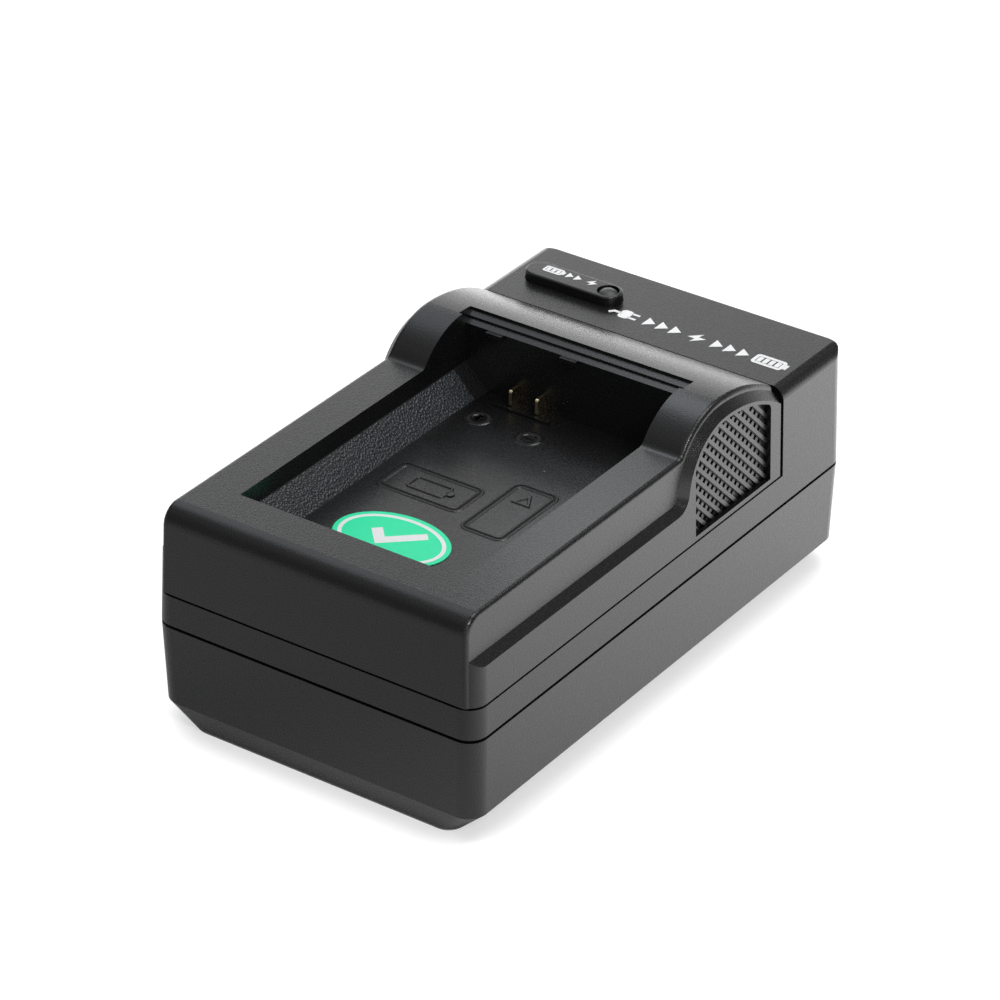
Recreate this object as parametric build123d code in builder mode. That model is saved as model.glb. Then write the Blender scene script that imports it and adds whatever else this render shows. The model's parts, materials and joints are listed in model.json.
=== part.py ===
"""Camera battery charger with a fold-out mains plug.

A drafted lower case and an upper case meet at a shadow seam. The upper case carries
a rear block with the charge window, and in front of it a battery deck: a tray with
sloped side walls and an arched hump whose flanks hold two perforated vent grilles.
Millimetres, +Z up, origin on the floor below the middle of the case, front at -Y.
"""
import os
from math import acos, asin, cos, degrees, hypot, radians, sin, tan

from build123d import *

os.makedirs("parts", exist_ok=True)

# Case plan, seams and walls
case_length = 96.5
case_width = 56.0
case_corner = 3.0
draft_angle = 1.7
wall = 1.8
inner_corner = 1.0
floor_thickness = 2.4
base_bevel_height = 4.3
base_bevel_side = 4.5
base_bevel_end = 1.4
base_corner = 2.5
seam_height = 17.4
seam_gap = 0.5
tongue_height = 1.0
tongue_thickness = 0.75
fit_gap = 0.1
quarter_turn = 90.0
half_turn = 180.0

# Upper case: band under the deck, block behind it
band_rise = 5.2
deck_gap = 0.35
block_length = 17.45
block_gap = 0.75
block_rise = 19.6
block_edge = 2.2
block_rear_edge = 0.5
round_margin = 0.02

# Battery deck: rim, side ledge, arched hump (rises are above the seam)
rim_rise = 19.2
rim_inset = 1.3
rim_round = 0.75
rim_front_round = 3.1
ledge_rise = 12.05
ledge_slope_rise = 1.3
hump_rise = 24.3
hump_setback = 15.4
hump_front_radius = 12.0
hump_rear_radius = 27.0
hump_foot_round = 1.4
hump_tail_round = 1.0
fender_drop = 1.4
fender_valley = 2.2
flank_wall = 2.8
core_overlap = 0.025
tongue_root = 0.6

# Battery bay
bay_half_width = 19.2
bay_front_rim = 9.55
bay_back_step = 0.8
bay_depth = 7.3
bay_lip = 3.2
bay_floor_half = 15.3
bay_wall = 1.6
lip_fall = 1.9
lip_step_run = 1.0
lip_step_drop = 0.42
lip_step_slope = 0.4
lip_step_margin = 0.6
tab_width = 2.8
tab_reach = 0.8
tab_height = 0.7
tab_positions = (-13.7, -0.5)
sill_width = 10.1
sill_run = 0.6
sill_height = 0.4

# Vent grilles in the fenders
vent_margin = 1.2
vent_front_step = 8.2
vent_rear_step = 3.45
vent_bottom = 6.1
vent_corner = 1.2
vent_recess = 0.7
vent_rib_height = 0.4
vent_plate = 0.8
vent_seat = 0.8
vent_pitch = 1.45
vent_rib_width = 0.6
vent_hole = 0.74
vent_hole_pitch = 1.5
vent_hole_margin = 0.25
vent_slant = 45.0
vent_rows = 12

# Charge window and lamp
window_length = 17.2
window_width = 4.7
window_side_step = 12.8
window_setback = 8.1
window_depth = 0.5
window_plate = 2.0
window_round = 0.35
led_radius = 1.45
led_flange_radius = 1.9
led_flange = 0.8
led_proud = 0.25
led_ring = 0.3
led_dome = 0.6
led_leg = 0.5
led_leg_pitch = 1.4

# Contact blades in the bay's back wall
contact_positions = (-9.6, -4.9)
contact_thickness = 0.5
contact_height = 3.0
contact_reach = 2.2
contact_tail = 4.0
contact_round = 0.5
contact_gap = 0.05
lead_radius = 0.65

# Inspection sticker on the bay floor
sticker_length = 18.6
sticker_width = 13.2
sticker_thickness = 0.12
sticker_x = -1.8
sticker_setback = 12.2

# Fold-out mains plug
plug_axis_y = 14.0
plug_axis_height = 5.0
blade_length = 17.0
blade_width = 6.3
blade_thickness = 1.5
blade_spacing = 12.7
blade_root = 2.5
blade_tip = 1.6
blade_hole = 1.5
blade_hole_setback = 4.0
barrel_radius = 4.4
barrel_length = 23.0
trunnion_radius = 1.8
trunnion_length = 2.6
trunnion_gap = 0.05
plug_gap = 0.4
bearing_wall = 3.0
pocket_wall = 1.4
slot_wall = 1.2
scoop_radius = 9.0
scoop_depth = 1.3
scoop_length = 20.0
cover_thickness = 1.4
cover_screw_boss = 2.3
spring_width = 3.0
spring_thickness = 0.4
spring_reach = 8.0
spring_gap = 0.3

# Board and its posts
board_gap = 1.0
board_thickness = 1.6
board_side_gap = 2.2
board_front_step = 13.75
board_rear_step = 3.65
board_notch_gap = 0.6
post_radius = 2.4
post_front_inset = 4.5
post_rear_inset = 15.6
post_side_inset = 4.0

# Screws
boss_radius = 3.2
boss_cap = 1.0
rib_thickness = 1.2
boss_side_inset = 9.0
boss_end_inset = 9.25
screw_radius = 1.3
screw_head_radius = 2.5
screw_head_height = 1.6
screw_sink = 2.6
screw_bite = 6.0
screw_gap = 0.15
small_screw_radius = 0.9
small_screw_head = 1.8
small_screw_head_height = 1.1
cover_screw_head_height = 0.8
small_screw_bite = 4.0
drive_size = 0.7
drive_depth = 0.6
drive_length = 3.0
small_drive_length = 2.1

# Inlet jack under the board's rear edge
jack_width = 8.6
jack_height = 8.0
jack_x = 0.0
jack_length = 10.0
jack_nose_radius = 3.3
jack_bore_radius = 2.8
jack_bore_depth = 8.5
jack_pin_radius = 1.05
jack_pin_setback = 0.8
jack_gap = 0.15
jack_setback = 0.3

# Power parts on the board
core_width = 16.0
core_height = 13.5
core_thickness = 5.0
core_leg = 2.6
core_middle = 4.4
core_side_step = 13.0
core_rear_inset = 9.85
bobbin_base = 2.0
bobbin_wall = 0.7
bobbin_depth = 11.0
winding_gap = 0.15
capacitor_radius = 5.0
capacitor_length = 17.0
capacitor_side_inset = 13.0
capacitor_y = -6.0
capacitor_crimp = 0.5
output_radius = 4.0
output_height = 11.0
output_side_inset = 10.0
output_front_inset = 15.5
choke_radius = 4.2
choke_waist = 2.6
choke_flange = 1.2
choke_height = 8.5
choke_side_inset = 10.0
choke_front_inset = 10.5
axial_lead = 0.6
axial_rise = 1.2
fuse_radius = 1.8
fuse_length = 8.5
fuse_pitch = 13.0
fuse_side_inset = 14.0
fuse_rear_inset = 20.6
diode_radius = 1.35
diode_length = 5.0
diode_pitch = 8.5
diode_spacing = 4.6
diode_count = 4
diode_side_inset = 13.5
diode_y = 8.0
chip_width = 6.4
chip_height = 3.2
chip_rise = 0.5
chip_leg = 0.6
chip_leg_pitch = 2.54
controller_length = 9.6
controller_leg_count = 4
controller_side_inset = 12.0
controller_y = 9.0
opto_length = 4.6
opto_leg_count = 2
opto_side_inset = 23.0
opto_y = 7.0
charge_chip_length = 9.6
charge_chip_leg_count = 4
charge_chip_side_inset = 20.0
charge_chip_front_inset = 7.5

# Levels and places worked out from the sizes above
half_length = case_length / 2
half_width = case_width / 2
lean = tan(radians(draft_angle))
lower_top = seam_height - seam_gap / 2
upper_bottom = seam_height + seam_gap / 2
tongue_top = upper_bottom + tongue_height
band_top = seam_height + band_rise - deck_gap / 2
deck_bottom_rise = band_rise + deck_gap / 2
deck_bottom = seam_height + deck_bottom_rise
deck_seat = band_top - tongue_height
rim_top = seam_height + rim_rise
block_top = seam_height + block_rise
bay_floor = rim_top - bay_depth
bay_floor_rise = rim_rise - bay_depth
block_front = half_length - block_length
deck_rear = block_front - block_gap
hump_crest_y = block_front - hump_setback
bay_front = bay_front_rim - half_length
bay_back = hump_crest_y + bay_back_step
vent_front = hump_crest_y - vent_front_step
vent_rear = block_front - vent_rear_step
window_x = window_side_step - half_width
window_y = block_front + window_setback
sticker_y = bay_front + sticker_setback
pocket_top = plug_axis_height + barrel_radius + plug_gap
board_bottom = pocket_top + cover_thickness + board_gap
board_top = board_bottom + board_thickness
board_half = half_width - wall - board_side_gap
board_front = board_front_step - half_length
board_rear = half_length - board_rear_step
boss_x = half_width - boss_side_inset
boss_y = half_length - boss_end_inset
post_x = board_half - post_side_inset
post_front = board_front + post_front_inset
post_rear = board_rear - post_rear_inset
core_x = boss_x - core_side_step
core_y = half_length - core_rear_inset
capacitor_x = capacitor_side_inset - board_half
output_x = board_half - output_side_inset
output_y = board_front + output_front_inset
choke_x = choke_side_inset - board_half
choke_y = board_front + choke_front_inset
fuse_x = board_half - fuse_side_inset
fuse_y = board_rear - fuse_rear_inset
diode_x = board_half - diode_side_inset
controller_x = controller_side_inset - board_half
opto_x = board_half - opto_side_inset
charge_chip_x = board_half - charge_chip_side_inset
charge_chip_y = board_front + charge_chip_front_inset
beyond = 20.0

side_plane = Plane(
    origin=(half_width, 0, seam_height),
    x_dir=(0, 1, 0),
    z_dir=(cos(radians(draft_angle)), 0, sin(radians(draft_angle))),
)
middle_plane = Plane(origin=(0, 0, seam_height), x_dir=(0, 1, 0), z_dir=(1, 0, 0))
boss_places = [(x, y) for x in (-boss_x, boss_x) for y in (-boss_y, boss_y)]
post_places = [(x, y) for x in (-post_x, post_x) for y in (post_front, post_rear)]


def case_outline(height, inset=0.0):
    """Rounded case outline at a height, drawn in by the draft (not at the upper rear) and an inset."""
    drawn = abs(height - seam_height) * lean
    rear_drawn = drawn if height < seam_height else 0.0
    corner = max(case_corner - inset, inner_corner)
    with BuildSketch(Plane.XY.offset(height)) as outline:
        with Locations((0, (drawn - rear_drawn) / 2)):
            RectangleRounded(
                case_width - 2 * (drawn + inset), case_length - drawn - rear_drawn - 2 * inset, corner
            )
    return outline.sketch


def base_outline(height, inset=0.0):
    """Case outline at the foot of the bevels, drawn in more at the sides than at the ends."""
    drawn = (seam_height - base_bevel_height) * lean + inset
    corner = max(base_corner - inset, inner_corner)
    with BuildSketch(Plane.XY.offset(height)) as outline:
        RectangleRounded(
            case_width - 2 * (drawn + base_bevel_side),
            case_length - 2 * (drawn + base_bevel_end),
            corner,
        )
    return outline.sketch


def ring_outline(height, outer, inner):
    """Flat ring that follows the case wall at the seam, between two insets."""
    with BuildSketch(Plane.XY.offset(height)) as ring:
        RectangleRounded(
            case_width - 2 * outer, case_length - 2 * outer, max(case_corner - outer, inner_corner)
        )
        RectangleRounded(
            case_width - 2 * inner,
            case_length - 2 * inner,
            max(case_corner - inner, inner_corner),
            mode=Mode.SUBTRACT,
        )
    return ring.sketch


def block_profile():
    """End view of the upper case, a margin outside its drafted sides, with rounded top corners."""
    foot = half_width + seam_height * lean + round_margin
    shoulder = half_width - block_rise * lean + round_margin
    top = block_top + round_margin
    with BuildSketch(Plane.XZ) as profile:
        with BuildLine():
            Polyline((-foot, 0), (foot, 0), (shoulder, top), (-shoulder, top), close=True)
        make_face()
        fillet(profile.vertices().group_by(Axis.Z)[-1], block_edge)
    return profile.sketch


def hump_front_arc(level, shrink=0.0):
    """Front arc of the hump, from its crest down to a level above the seam."""
    centre = hump_rise - hump_front_radius
    radius = hump_front_radius - shrink
    sweep = quarter_turn - degrees(asin((level - centre) / radius))
    return CenterArc((hump_crest_y, centre), radius, quarter_turn, sweep)


def hump_rear_arc(end, shrink=0.0):
    """Rear arc of the hump, from a station behind the crest up to the crest."""
    centre = hump_rise - hump_rear_radius
    radius = hump_rear_radius - shrink
    angle = degrees(acos((end - hump_crest_y) / radius))
    return CenterArc((hump_crest_y, centre), radius, angle, quarter_turn - angle)


def tray_profile(shrink, front_low, front_high, rear, bottom, plane):
    """Side view of the tray and hump: a rim level and the arch, drawn in by a shrink."""
    level = rim_rise - shrink
    with BuildSketch(plane) as profile:
        with BuildLine():
            front_arc = hump_front_arc(level, shrink)
            rear_arc = hump_rear_arc(rear, shrink)
            Polyline(front_arc @ 1, (front_high, level), (front_low, bottom), (rear, bottom), rear_arc @ 0)
        make_face()
    return profile.sketch


def core_profile():
    """Outer side view of the tray and hump, with its drafted front and rounded turns."""
    front_low = -half_length + deck_bottom_rise * lean
    front_high = -half_length + rim_rise * lean
    turns = (
        (hump_front_arc(rim_rise) @ 1, hump_foot_round),
        ((front_high, rim_rise), rim_front_round),
        (hump_rear_arc(deck_rear) @ 0, hump_tail_round),
    )
    with BuildSketch(middle_plane) as profile:
        add(tray_profile(0, front_low, front_high, deck_rear, deck_bottom_rise, Plane.XY))
        for place, radius in turns:
            fillet(profile.vertices().sort_by_distance(place)[0], radius)
    return profile.sketch


def flank_profile(plane, lift, front, rear):
    """Side view of a flank: ledge, valley and fender arch, raised by a lift."""
    level = ledge_rise + lift
    shrink = fender_drop - lift
    with BuildSketch(plane) as profile:
        with BuildLine():
            front_arc = hump_front_arc(level, shrink)
            rear_arc = hump_rear_arc(rear, shrink)
            Polyline(
                front_arc @ 1,
                (front, level),
                (front, deck_bottom_rise),
                (rear, deck_bottom_rise),
                rear_arc @ 0,
            )
        make_face()
        fillet(profile.vertices().sort_by_distance(front_arc @ 1)[0], fender_valley - lift)
    return profile.sketch


def ledge_sections():
    """Flank profiles from outside the wall inwards: low, then a slope up to the rim's foot."""
    half_rise = ledge_slope_rise / 2
    steps = ((-wall, -half_rise), (0, -half_rise), (rim_inset, half_rise), (rim_inset + wall, half_rise))
    front = -half_length - beyond
    return [flank_profile(side_plane.offset(-depth), lift, front, deck_rear) for depth, lift in steps]


def vent_outline(plane, inset=0.0):
    """Vent window: the fender's arch drawn in, a foot, upright edges and one rounded corner."""
    shrink = fender_drop + vent_margin + inset
    front = vent_front + inset
    rear = vent_rear - inset
    bottom = vent_bottom + inset
    front_centre = hump_rise - hump_front_radius
    front_radius = hump_front_radius - shrink
    front_angle = degrees(acos((front - hump_crest_y) / front_radius))
    with BuildSketch(plane) as outline:
        with BuildLine():
            front_sweep = front_angle - quarter_turn
            front_arc = CenterArc((hump_crest_y, front_centre), front_radius, quarter_turn, front_sweep)
            rear_arc = hump_rear_arc(rear, shrink)
            Polyline(front_arc @ 1, (front, bottom), (rear, bottom), rear_arc @ 0)
        make_face()
        fillet(outline.vertices().sort_by_distance(rear_arc @ 0)[0], vent_corner - inset)
    return outline.sketch


def slanted(u, v):
    """Point on the side face for steps along and across the grille's slanting ribs."""
    run = cos(radians(vent_slant))
    fall = sin(radians(vent_slant))
    centre_y = (vent_front + vent_rear) / 2
    centre_rise = (vent_bottom + hump_rise) / 2
    return (centre_y + u * run + v * fall, centre_rise - u * fall + v * run)


def vent_hole_places():
    """Centres of the square holes that lie whole inside the vent's outline."""
    side = hypot(vent_hole, vent_hole) / 2 + vent_hole_margin
    reach = vent_margin + fender_drop + side
    places = []
    for row in range(-vent_rows, vent_rows + 1):
        for column in range(-vent_rows, vent_rows + 1):
            y, rise = slanted(column * vent_hole_pitch, row * vent_pitch)
            radius = hump_front_radius if y < hump_crest_y else hump_rear_radius
            height = rise - hump_rise + radius
            inside_arch = (y - hump_crest_y) ** 2 + height**2 < (radius - reach) ** 2
            inside_edges = vent_front + side < y < vent_rear - side and rise > vent_bottom + side
            if inside_arch and inside_edges:
                places.append((y, rise))
    return places


# Lower case: bevelled tub with posts, bosses and the plug's pocket
pocket_half = barrel_length / 2 + trunnion_gap + fit_gap
pocket_radius = barrel_radius + plug_gap
bearing_half = pocket_half + bearing_wall
blade_tip_y = plug_axis_y - plug_axis_height - blade_length
slot_front = blade_tip_y - plug_gap
slot_rear = plug_axis_y + blade_width / 2 + plug_gap
slot_top = plug_axis_height + blade_width / 2 + plug_gap
slot_half = blade_thickness / 2 + plug_gap
blade_places = (-blade_spacing / 2, blade_spacing / 2)
cover_screw_x = bearing_half + cover_screw_boss - fit_gap
jack_axis_height = board_bottom - jack_height / 2
wall_rear = half_length - (seam_height - jack_axis_height) * lean

with BuildPart() as lower_case:
    loft([base_outline(0), case_outline(base_bevel_height)], ruled=True)
    loft([case_outline(base_bevel_height), case_outline(lower_top)], ruled=True)
    loft(
        [base_outline(floor_thickness, wall), case_outline(base_bevel_height + floor_thickness, wall)],
        ruled=True,
        mode=Mode.SUBTRACT,
    )
    loft(
        [case_outline(base_bevel_height + floor_thickness, wall), case_outline(lower_top, wall)],
        ruled=True,
        mode=Mode.SUBTRACT,
    )
    extrude(ring_outline(lower_top, wall - tongue_thickness, wall), tongue_height + seam_gap)
    with BuildSketch(Plane.XY.offset(floor_thickness)):
        with Locations(*boss_places):
            Circle(boss_radius)
    extrude(amount=lower_top - floor_thickness)
    with BuildSketch(Plane.XY.offset(floor_thickness)):
        with Locations(*post_places):
            Circle(post_radius)
    extrude(amount=board_bottom - floor_thickness)
    with BuildSketch():
        with Locations((0, plug_axis_y)):
            Rectangle(2 * bearing_half, 2 * (pocket_radius + pocket_wall))
        with Locations((-cover_screw_x, plug_axis_y), (cover_screw_x, plug_axis_y)):
            Circle(cover_screw_boss)
    extrude(amount=pocket_top)
    with BuildSketch():
        with Locations(*[(x, (slot_front + plug_axis_y) / 2 - slot_wall / 2) for x in blade_places]):
            Rectangle(2 * (slot_half + slot_wall), plug_axis_y - slot_front + slot_wall)
    extrude(amount=slot_top + slot_wall)
    with BuildSketch():
        with Locations((0, plug_axis_y)):
            Rectangle(2 * pocket_half, 2 * pocket_radius)
    extrude(amount=pocket_top, mode=Mode.SUBTRACT)
    with BuildSketch():
        with Locations(*[(x, (slot_front + slot_rear) / 2) for x in blade_places]):
            Rectangle(2 * slot_half, slot_rear - slot_front)
    extrude(amount=slot_top, mode=Mode.SUBTRACT)
    with BuildSketch(Plane.YZ.offset(-bearing_half)):
        with Locations((plug_axis_y, plug_axis_height)):
            Circle(trunnion_radius + trunnion_gap)
        with Locations((plug_axis_y, (plug_axis_height + pocket_top) / 2)):
            Rectangle(2 * (trunnion_radius + trunnion_gap), pocket_top - plug_axis_height)
    extrude(amount=2 * bearing_half, mode=Mode.SUBTRACT)
    with BuildSketch(Plane.YZ.offset(-scoop_length / 2)):
        with Locations((blade_tip_y, scoop_depth - scoop_radius)):
            Circle(scoop_radius)
    extrude(amount=scoop_length, mode=Mode.SUBTRACT)
    with Locations(*[Location((x, y, 0), (half_turn, 0, 0)) for x, y in boss_places]):
        CounterBoreHole(
            screw_radius + screw_gap,
            screw_head_radius + screw_gap,
            screw_sink + screw_head_height,
            depth=lower_top,
        )
    with Locations(*[Location((x, y, board_bottom)) for x, y in post_places]):
        Hole(small_screw_radius + fit_gap, depth=small_screw_bite + fit_gap)
    with Locations((-cover_screw_x, plug_axis_y, pocket_top), (cover_screw_x, plug_axis_y, pocket_top)):
        Hole(small_screw_radius + fit_gap, depth=small_screw_bite + fit_gap)
    with BuildSketch(Plane.XZ.offset(-half_length - beyond)):
        with Locations((jack_x, jack_axis_height)):
            Circle(jack_nose_radius + jack_gap)
    extrude(amount=beyond + 2 * wall, mode=Mode.SUBTRACT)
lower_case.part.label = "lower_case"
export_step(lower_case.part, "parts/lower_case.step")

# Upper case: band in front, hollow block behind, bosses tied to the walls by ribs
boss_top = lower_top + screw_bite + boss_cap
rib_bottom = tongue_top + fit_gap
rib_top = deck_seat - fit_gap
wall_middle = wall / 2
block_side = half_width - block_rise * lean - wall
block_back = half_length - wall
led_x = window_x + (window_length - window_width) / 2
window_floor = block_top - window_depth

with BuildPart() as upper_case:
    loft([case_outline(upper_bottom), case_outline(block_top)], ruled=True)
    with BuildSketch(Plane.XY.offset(band_top)):
        with Locations((0, block_front - half_length - beyond)):
            Rectangle(case_width + beyond, 2 * (half_length + beyond))
    extrude(amount=block_rise, mode=Mode.SUBTRACT)
    block_edges = upper_case.faces().sort_by(Axis.Z)[-1].edges()
    fillet(block_edges.filter_by(lambda edge: edge.center().Y > block_front + fit_gap), block_rear_edge)
    extrude(block_profile(), amount=case_length, both=True, mode=Mode.INTERSECT)
    loft([case_outline(upper_bottom, wall), case_outline(band_top, wall)], ruled=True, mode=Mode.SUBTRACT)
    with BuildSketch(Plane.XY.offset(band_top)):
        with Locations((0, (block_front + wall + block_back) / 2)):
            RectangleRounded(2 * block_side, block_back - block_front - wall, inner_corner)
    extrude(amount=block_top - wall - band_top, mode=Mode.SUBTRACT)
    with BuildSketch(Plane.XY.offset(rib_bottom)):
        for x, y in boss_places:
            side = half_width - wall_middle if x > 0 else wall_middle - half_width
            end = half_length - wall_middle if y > 0 else wall_middle - half_length
            with Locations(((x + side) / 2, y)):
                Rectangle(abs(side - x), rib_thickness)
            with Locations((x, (y + end) / 2)):
                Rectangle(rib_thickness, abs(end - y))
    extrude(amount=rib_top - rib_bottom)
    with BuildSketch(Plane.XY.offset(lower_top)):
        with Locations(*boss_places):
            Circle(boss_radius)
    extrude(amount=boss_top - lower_top)
    extrude(
        ring_outline(upper_bottom, wall - tongue_thickness - fit_gap, wall + fit_gap),
        tongue_height,
        mode=Mode.SUBTRACT,
    )
    with BuildSketch(Plane.XY.offset(deck_seat)):
        add(ring_outline(0, wall - tongue_thickness - fit_gap, wall + fit_gap))
        with Locations((0, block_front - half_length - beyond)):
            Rectangle(case_width + beyond, 2 * (half_length + beyond), mode=Mode.INTERSECT)
    extrude(amount=tongue_height, mode=Mode.SUBTRACT)
    with Locations(*[Location((x, y, lower_top), (half_turn, 0, 0)) for x, y in boss_places]):
        Hole(screw_radius + fit_gap, depth=screw_bite)
    with BuildSketch(Plane.XY.offset(window_floor)):
        with Locations((window_x, window_y)):
            SlotOverall(window_length, window_width)
    extrude(amount=window_depth, mode=Mode.SUBTRACT)
    with Locations((led_x, window_y, window_floor)):
        Hole(led_radius + fit_gap, depth=wall)
upper_case.part.label = "upper_case"
export_step(upper_case.part, "parts/upper_case.step")

# Battery deck, step by step: core, flanks, vent cutter, then the hollow moulding
left_plane = Plane(
    origin=(-half_width, 0, seam_height),
    x_dir=(0, -1, 0),
    z_dir=(-cos(radians(draft_angle)), 0, sin(radians(draft_angle))),
)
core_inset = rim_inset - core_overlap

with BuildPart() as deck_core:
    extrude(core_profile(), amount=half_width, both=True)
    split(bisect_by=side_plane.offset(-core_inset), keep=Keep.BOTTOM)
    split(bisect_by=left_plane.offset(-core_inset), keep=Keep.BOTTOM)
    for end in (0, -1):
        side_edges = deck_core.faces().sort_by(Axis.X)[end].edges()
        fillet(side_edges.filter_by(lambda edge: edge.center().Z > deck_bottom + fit_gap), rim_round)

with BuildPart() as deck_flank:
    loft(ledge_sections(), ruled=True)
    loft(
        [case_outline(deck_bottom), case_outline(seam_height + hump_rise)],
        ruled=True,
        mode=Mode.INTERSECT,
    )

vent_pocket = vent_recess + vent_rib_height + vent_plate
with BuildPart() as vent_cutter:
    extrude(vent_outline(side_plane.offset(-vent_pocket)), vent_pocket + wall)
    extrude(vent_outline(side_plane.offset(-vent_pocket), vent_seat), -flank_wall)

bay_lip_rise = rim_rise - bay_lip
lip_rise = hump_rise - lip_fall
lip_middle = bay_back + lip_step_run
lip_back = lip_middle + lip_step_run
hump_draw = hump_rise * lean
flank_room = half_width - hump_draw - flank_wall
core_room = half_width - hump_draw - rim_inset - wall
sill_y = bay_back - contact_reach - sill_run
sill_x = sum(contact_positions) / len(contact_positions)
front_room = -half_length + rim_rise * lean + wall

with BuildPart() as battery_deck:
    add(deck_core.part)
    add(deck_flank.part)
    mirror(deck_flank.part, about=Plane.YZ)
    extrude(
        tray_profile(wall, front_room, front_room, deck_rear - wall, deck_bottom_rise, middle_plane),
        amount=core_room,
        both=True,
        mode=Mode.SUBTRACT,
    )
    extrude(
        flank_profile(middle_plane, -wall, front_room, deck_rear - wall),
        amount=flank_room,
        both=True,
        mode=Mode.SUBTRACT,
    )
    extrude(
        tray_profile(
            wall / 2,
            bay_front - bay_wall,
            bay_front - bay_wall,
            bay_back + bay_wall,
            bay_floor_rise - bay_wall,
            middle_plane,
        ),
        amount=bay_half_width + bay_wall,
        both=True,
    )
    with BuildSketch(Plane(origin=(0, bay_back, seam_height), x_dir=(1, 0, 0), z_dir=(0, -1, 0))):
        with BuildLine():
            Polyline(
                (-bay_half_width, hump_rise + beyond),
                (-bay_half_width, bay_lip_rise),
                (-bay_floor_half, bay_floor_rise),
                (bay_floor_half, bay_floor_rise),
                (bay_half_width, bay_lip_rise),
                (bay_half_width, hump_rise + beyond),
                close=True,
            )
        make_face()
    extrude(amount=bay_back - bay_front, mode=Mode.SUBTRACT)
    with BuildSketch(middle_plane):
        with BuildLine():
            Polyline(
                (bay_back - lip_step_run, lip_rise),
                (bay_back, lip_rise),
                (lip_middle, lip_rise + lip_step_slope),
                (lip_middle, lip_rise + lip_step_slope + lip_step_drop),
                (lip_back, lip_rise + 2 * lip_step_slope + lip_step_drop),
                (lip_back, hump_rise + beyond),
                (bay_back - lip_step_run, hump_rise + beyond),
                close=True,
            )
        make_face()
    extrude(amount=bay_half_width + lip_step_margin, both=True, mode=Mode.SUBTRACT)
    tab_middle = seam_height + lip_rise - tab_height / 2
    with Locations(*[(x, bay_back - tab_reach / 2, tab_middle) for x in tab_positions]):
        Box(tab_width, tab_reach, tab_height)
    with Locations((sill_x, sill_y, bay_floor + sill_height / 2)):
        Box(sill_width, sill_run, sill_height)
    blade_middle = bay_floor + contact_height / 2
    with Locations(*[(x, bay_back + bay_wall / 2, blade_middle) for x in contact_positions]):
        Box(
            contact_thickness + 2 * contact_gap,
            bay_wall,
            contact_height + 2 * contact_gap,
            mode=Mode.SUBTRACT,
        )
    add(vent_cutter.part, mode=Mode.SUBTRACT)
    mirror(vent_cutter.part, about=Plane.YZ, mode=Mode.SUBTRACT)
    with BuildSketch(Plane.XY.offset(deck_seat)):
        add(ring_outline(0, wall - tongue_thickness, wall))
        with Locations((0, deck_rear - wall - half_length - beyond)):
            Rectangle(case_width + beyond, 2 * (half_length + beyond), mode=Mode.INTERSECT)
    extrude(amount=deck_bottom - deck_seat + tongue_root)
battery_deck.part.label = "battery_deck"
export_step(battery_deck.part, "parts/battery_deck.step")

# Vent grilles: perforated plates with slanting ribs
with BuildPart() as vent_grille_right:
    extrude(vent_outline(side_plane.offset(-vent_pocket), fit_gap), vent_plate)
    with BuildSketch(side_plane.offset(-vent_pocket)):
        with Locations(*vent_hole_places()):
            Rectangle(vent_hole, vent_hole, rotation=-vent_slant)
    extrude(amount=vent_plate, mode=Mode.SUBTRACT)
    with BuildSketch(side_plane.offset(vent_plate - vent_pocket)):
        with Locations(*[slanted(0, (row + 0.5) * vent_pitch) for row in range(-vent_rows, vent_rows)]):
            Rectangle(case_length, vent_rib_width, rotation=-vent_slant)
        add(vent_outline(Plane.XY, fit_gap), mode=Mode.INTERSECT)
    extrude(amount=vent_rib_height)
vent_grille_right.part.label = "vent_grille_right"
export_step(vent_grille_right.part, "parts/vent_grille_right.step")

with BuildPart() as vent_grille_left:
    mirror(vent_grille_right.part, about=Plane.YZ)
vent_grille_left.part.label = "vent_grille_left"
export_step(vent_grille_left.part, "parts/vent_grille_left.step")

# Charge window and its lamp on long legs
with BuildPart() as charge_window:
    with BuildSketch(Plane.XY.offset(window_floor)):
        with Locations((window_x, window_y)):
            SlotOverall(window_length - 2 * fit_gap, window_width - 2 * fit_gap)
        with Locations((led_x, window_y)):
            Circle(led_radius + led_ring, mode=Mode.SUBTRACT)
    extrude(amount=window_plate)
    fillet(charge_window.faces().sort_by(Axis.Z)[-1].outer_wire().edges(), window_round)
charge_window.part.label = "charge_window"
export_step(charge_window.part, "parts/charge_window.step")

led_seat = block_top - wall
led_top = window_floor + window_plate + led_proud
led_cap = (led_radius**2 + led_dome**2) / (2 * led_dome)
led_shoulder = degrees(acos(led_radius / led_cap))
with BuildPart() as status_led:
    with BuildSketch(Plane(origin=(led_x, window_y, 0), x_dir=(1, 0, 0), z_dir=(0, -1, 0))):
        with BuildLine():
            Polyline(
                (0, led_seat - led_flange),
                (led_flange_radius, led_seat - led_flange),
                (led_flange_radius, led_seat),
                (led_radius, led_seat),
                (led_radius, led_top - led_dome),
            )
            CenterArc((0, led_top - led_cap), led_cap, led_shoulder, quarter_turn - led_shoulder)
            Line((0, led_top), (0, led_seat - led_flange))
        make_face()
    revolve(axis=Axis((led_x, window_y, 0), (0, 0, 1)))
    with BuildSketch(Plane.XY.offset(board_top)):
        with Locations((led_x - led_leg_pitch / 2, window_y), (led_x + led_leg_pitch / 2, window_y)):
            Rectangle(led_leg, led_leg)
    extrude(amount=led_seat - led_flange - board_top)
status_led.part.label = "status_led"
export_step(status_led.part, "parts/status_led.step")

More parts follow.
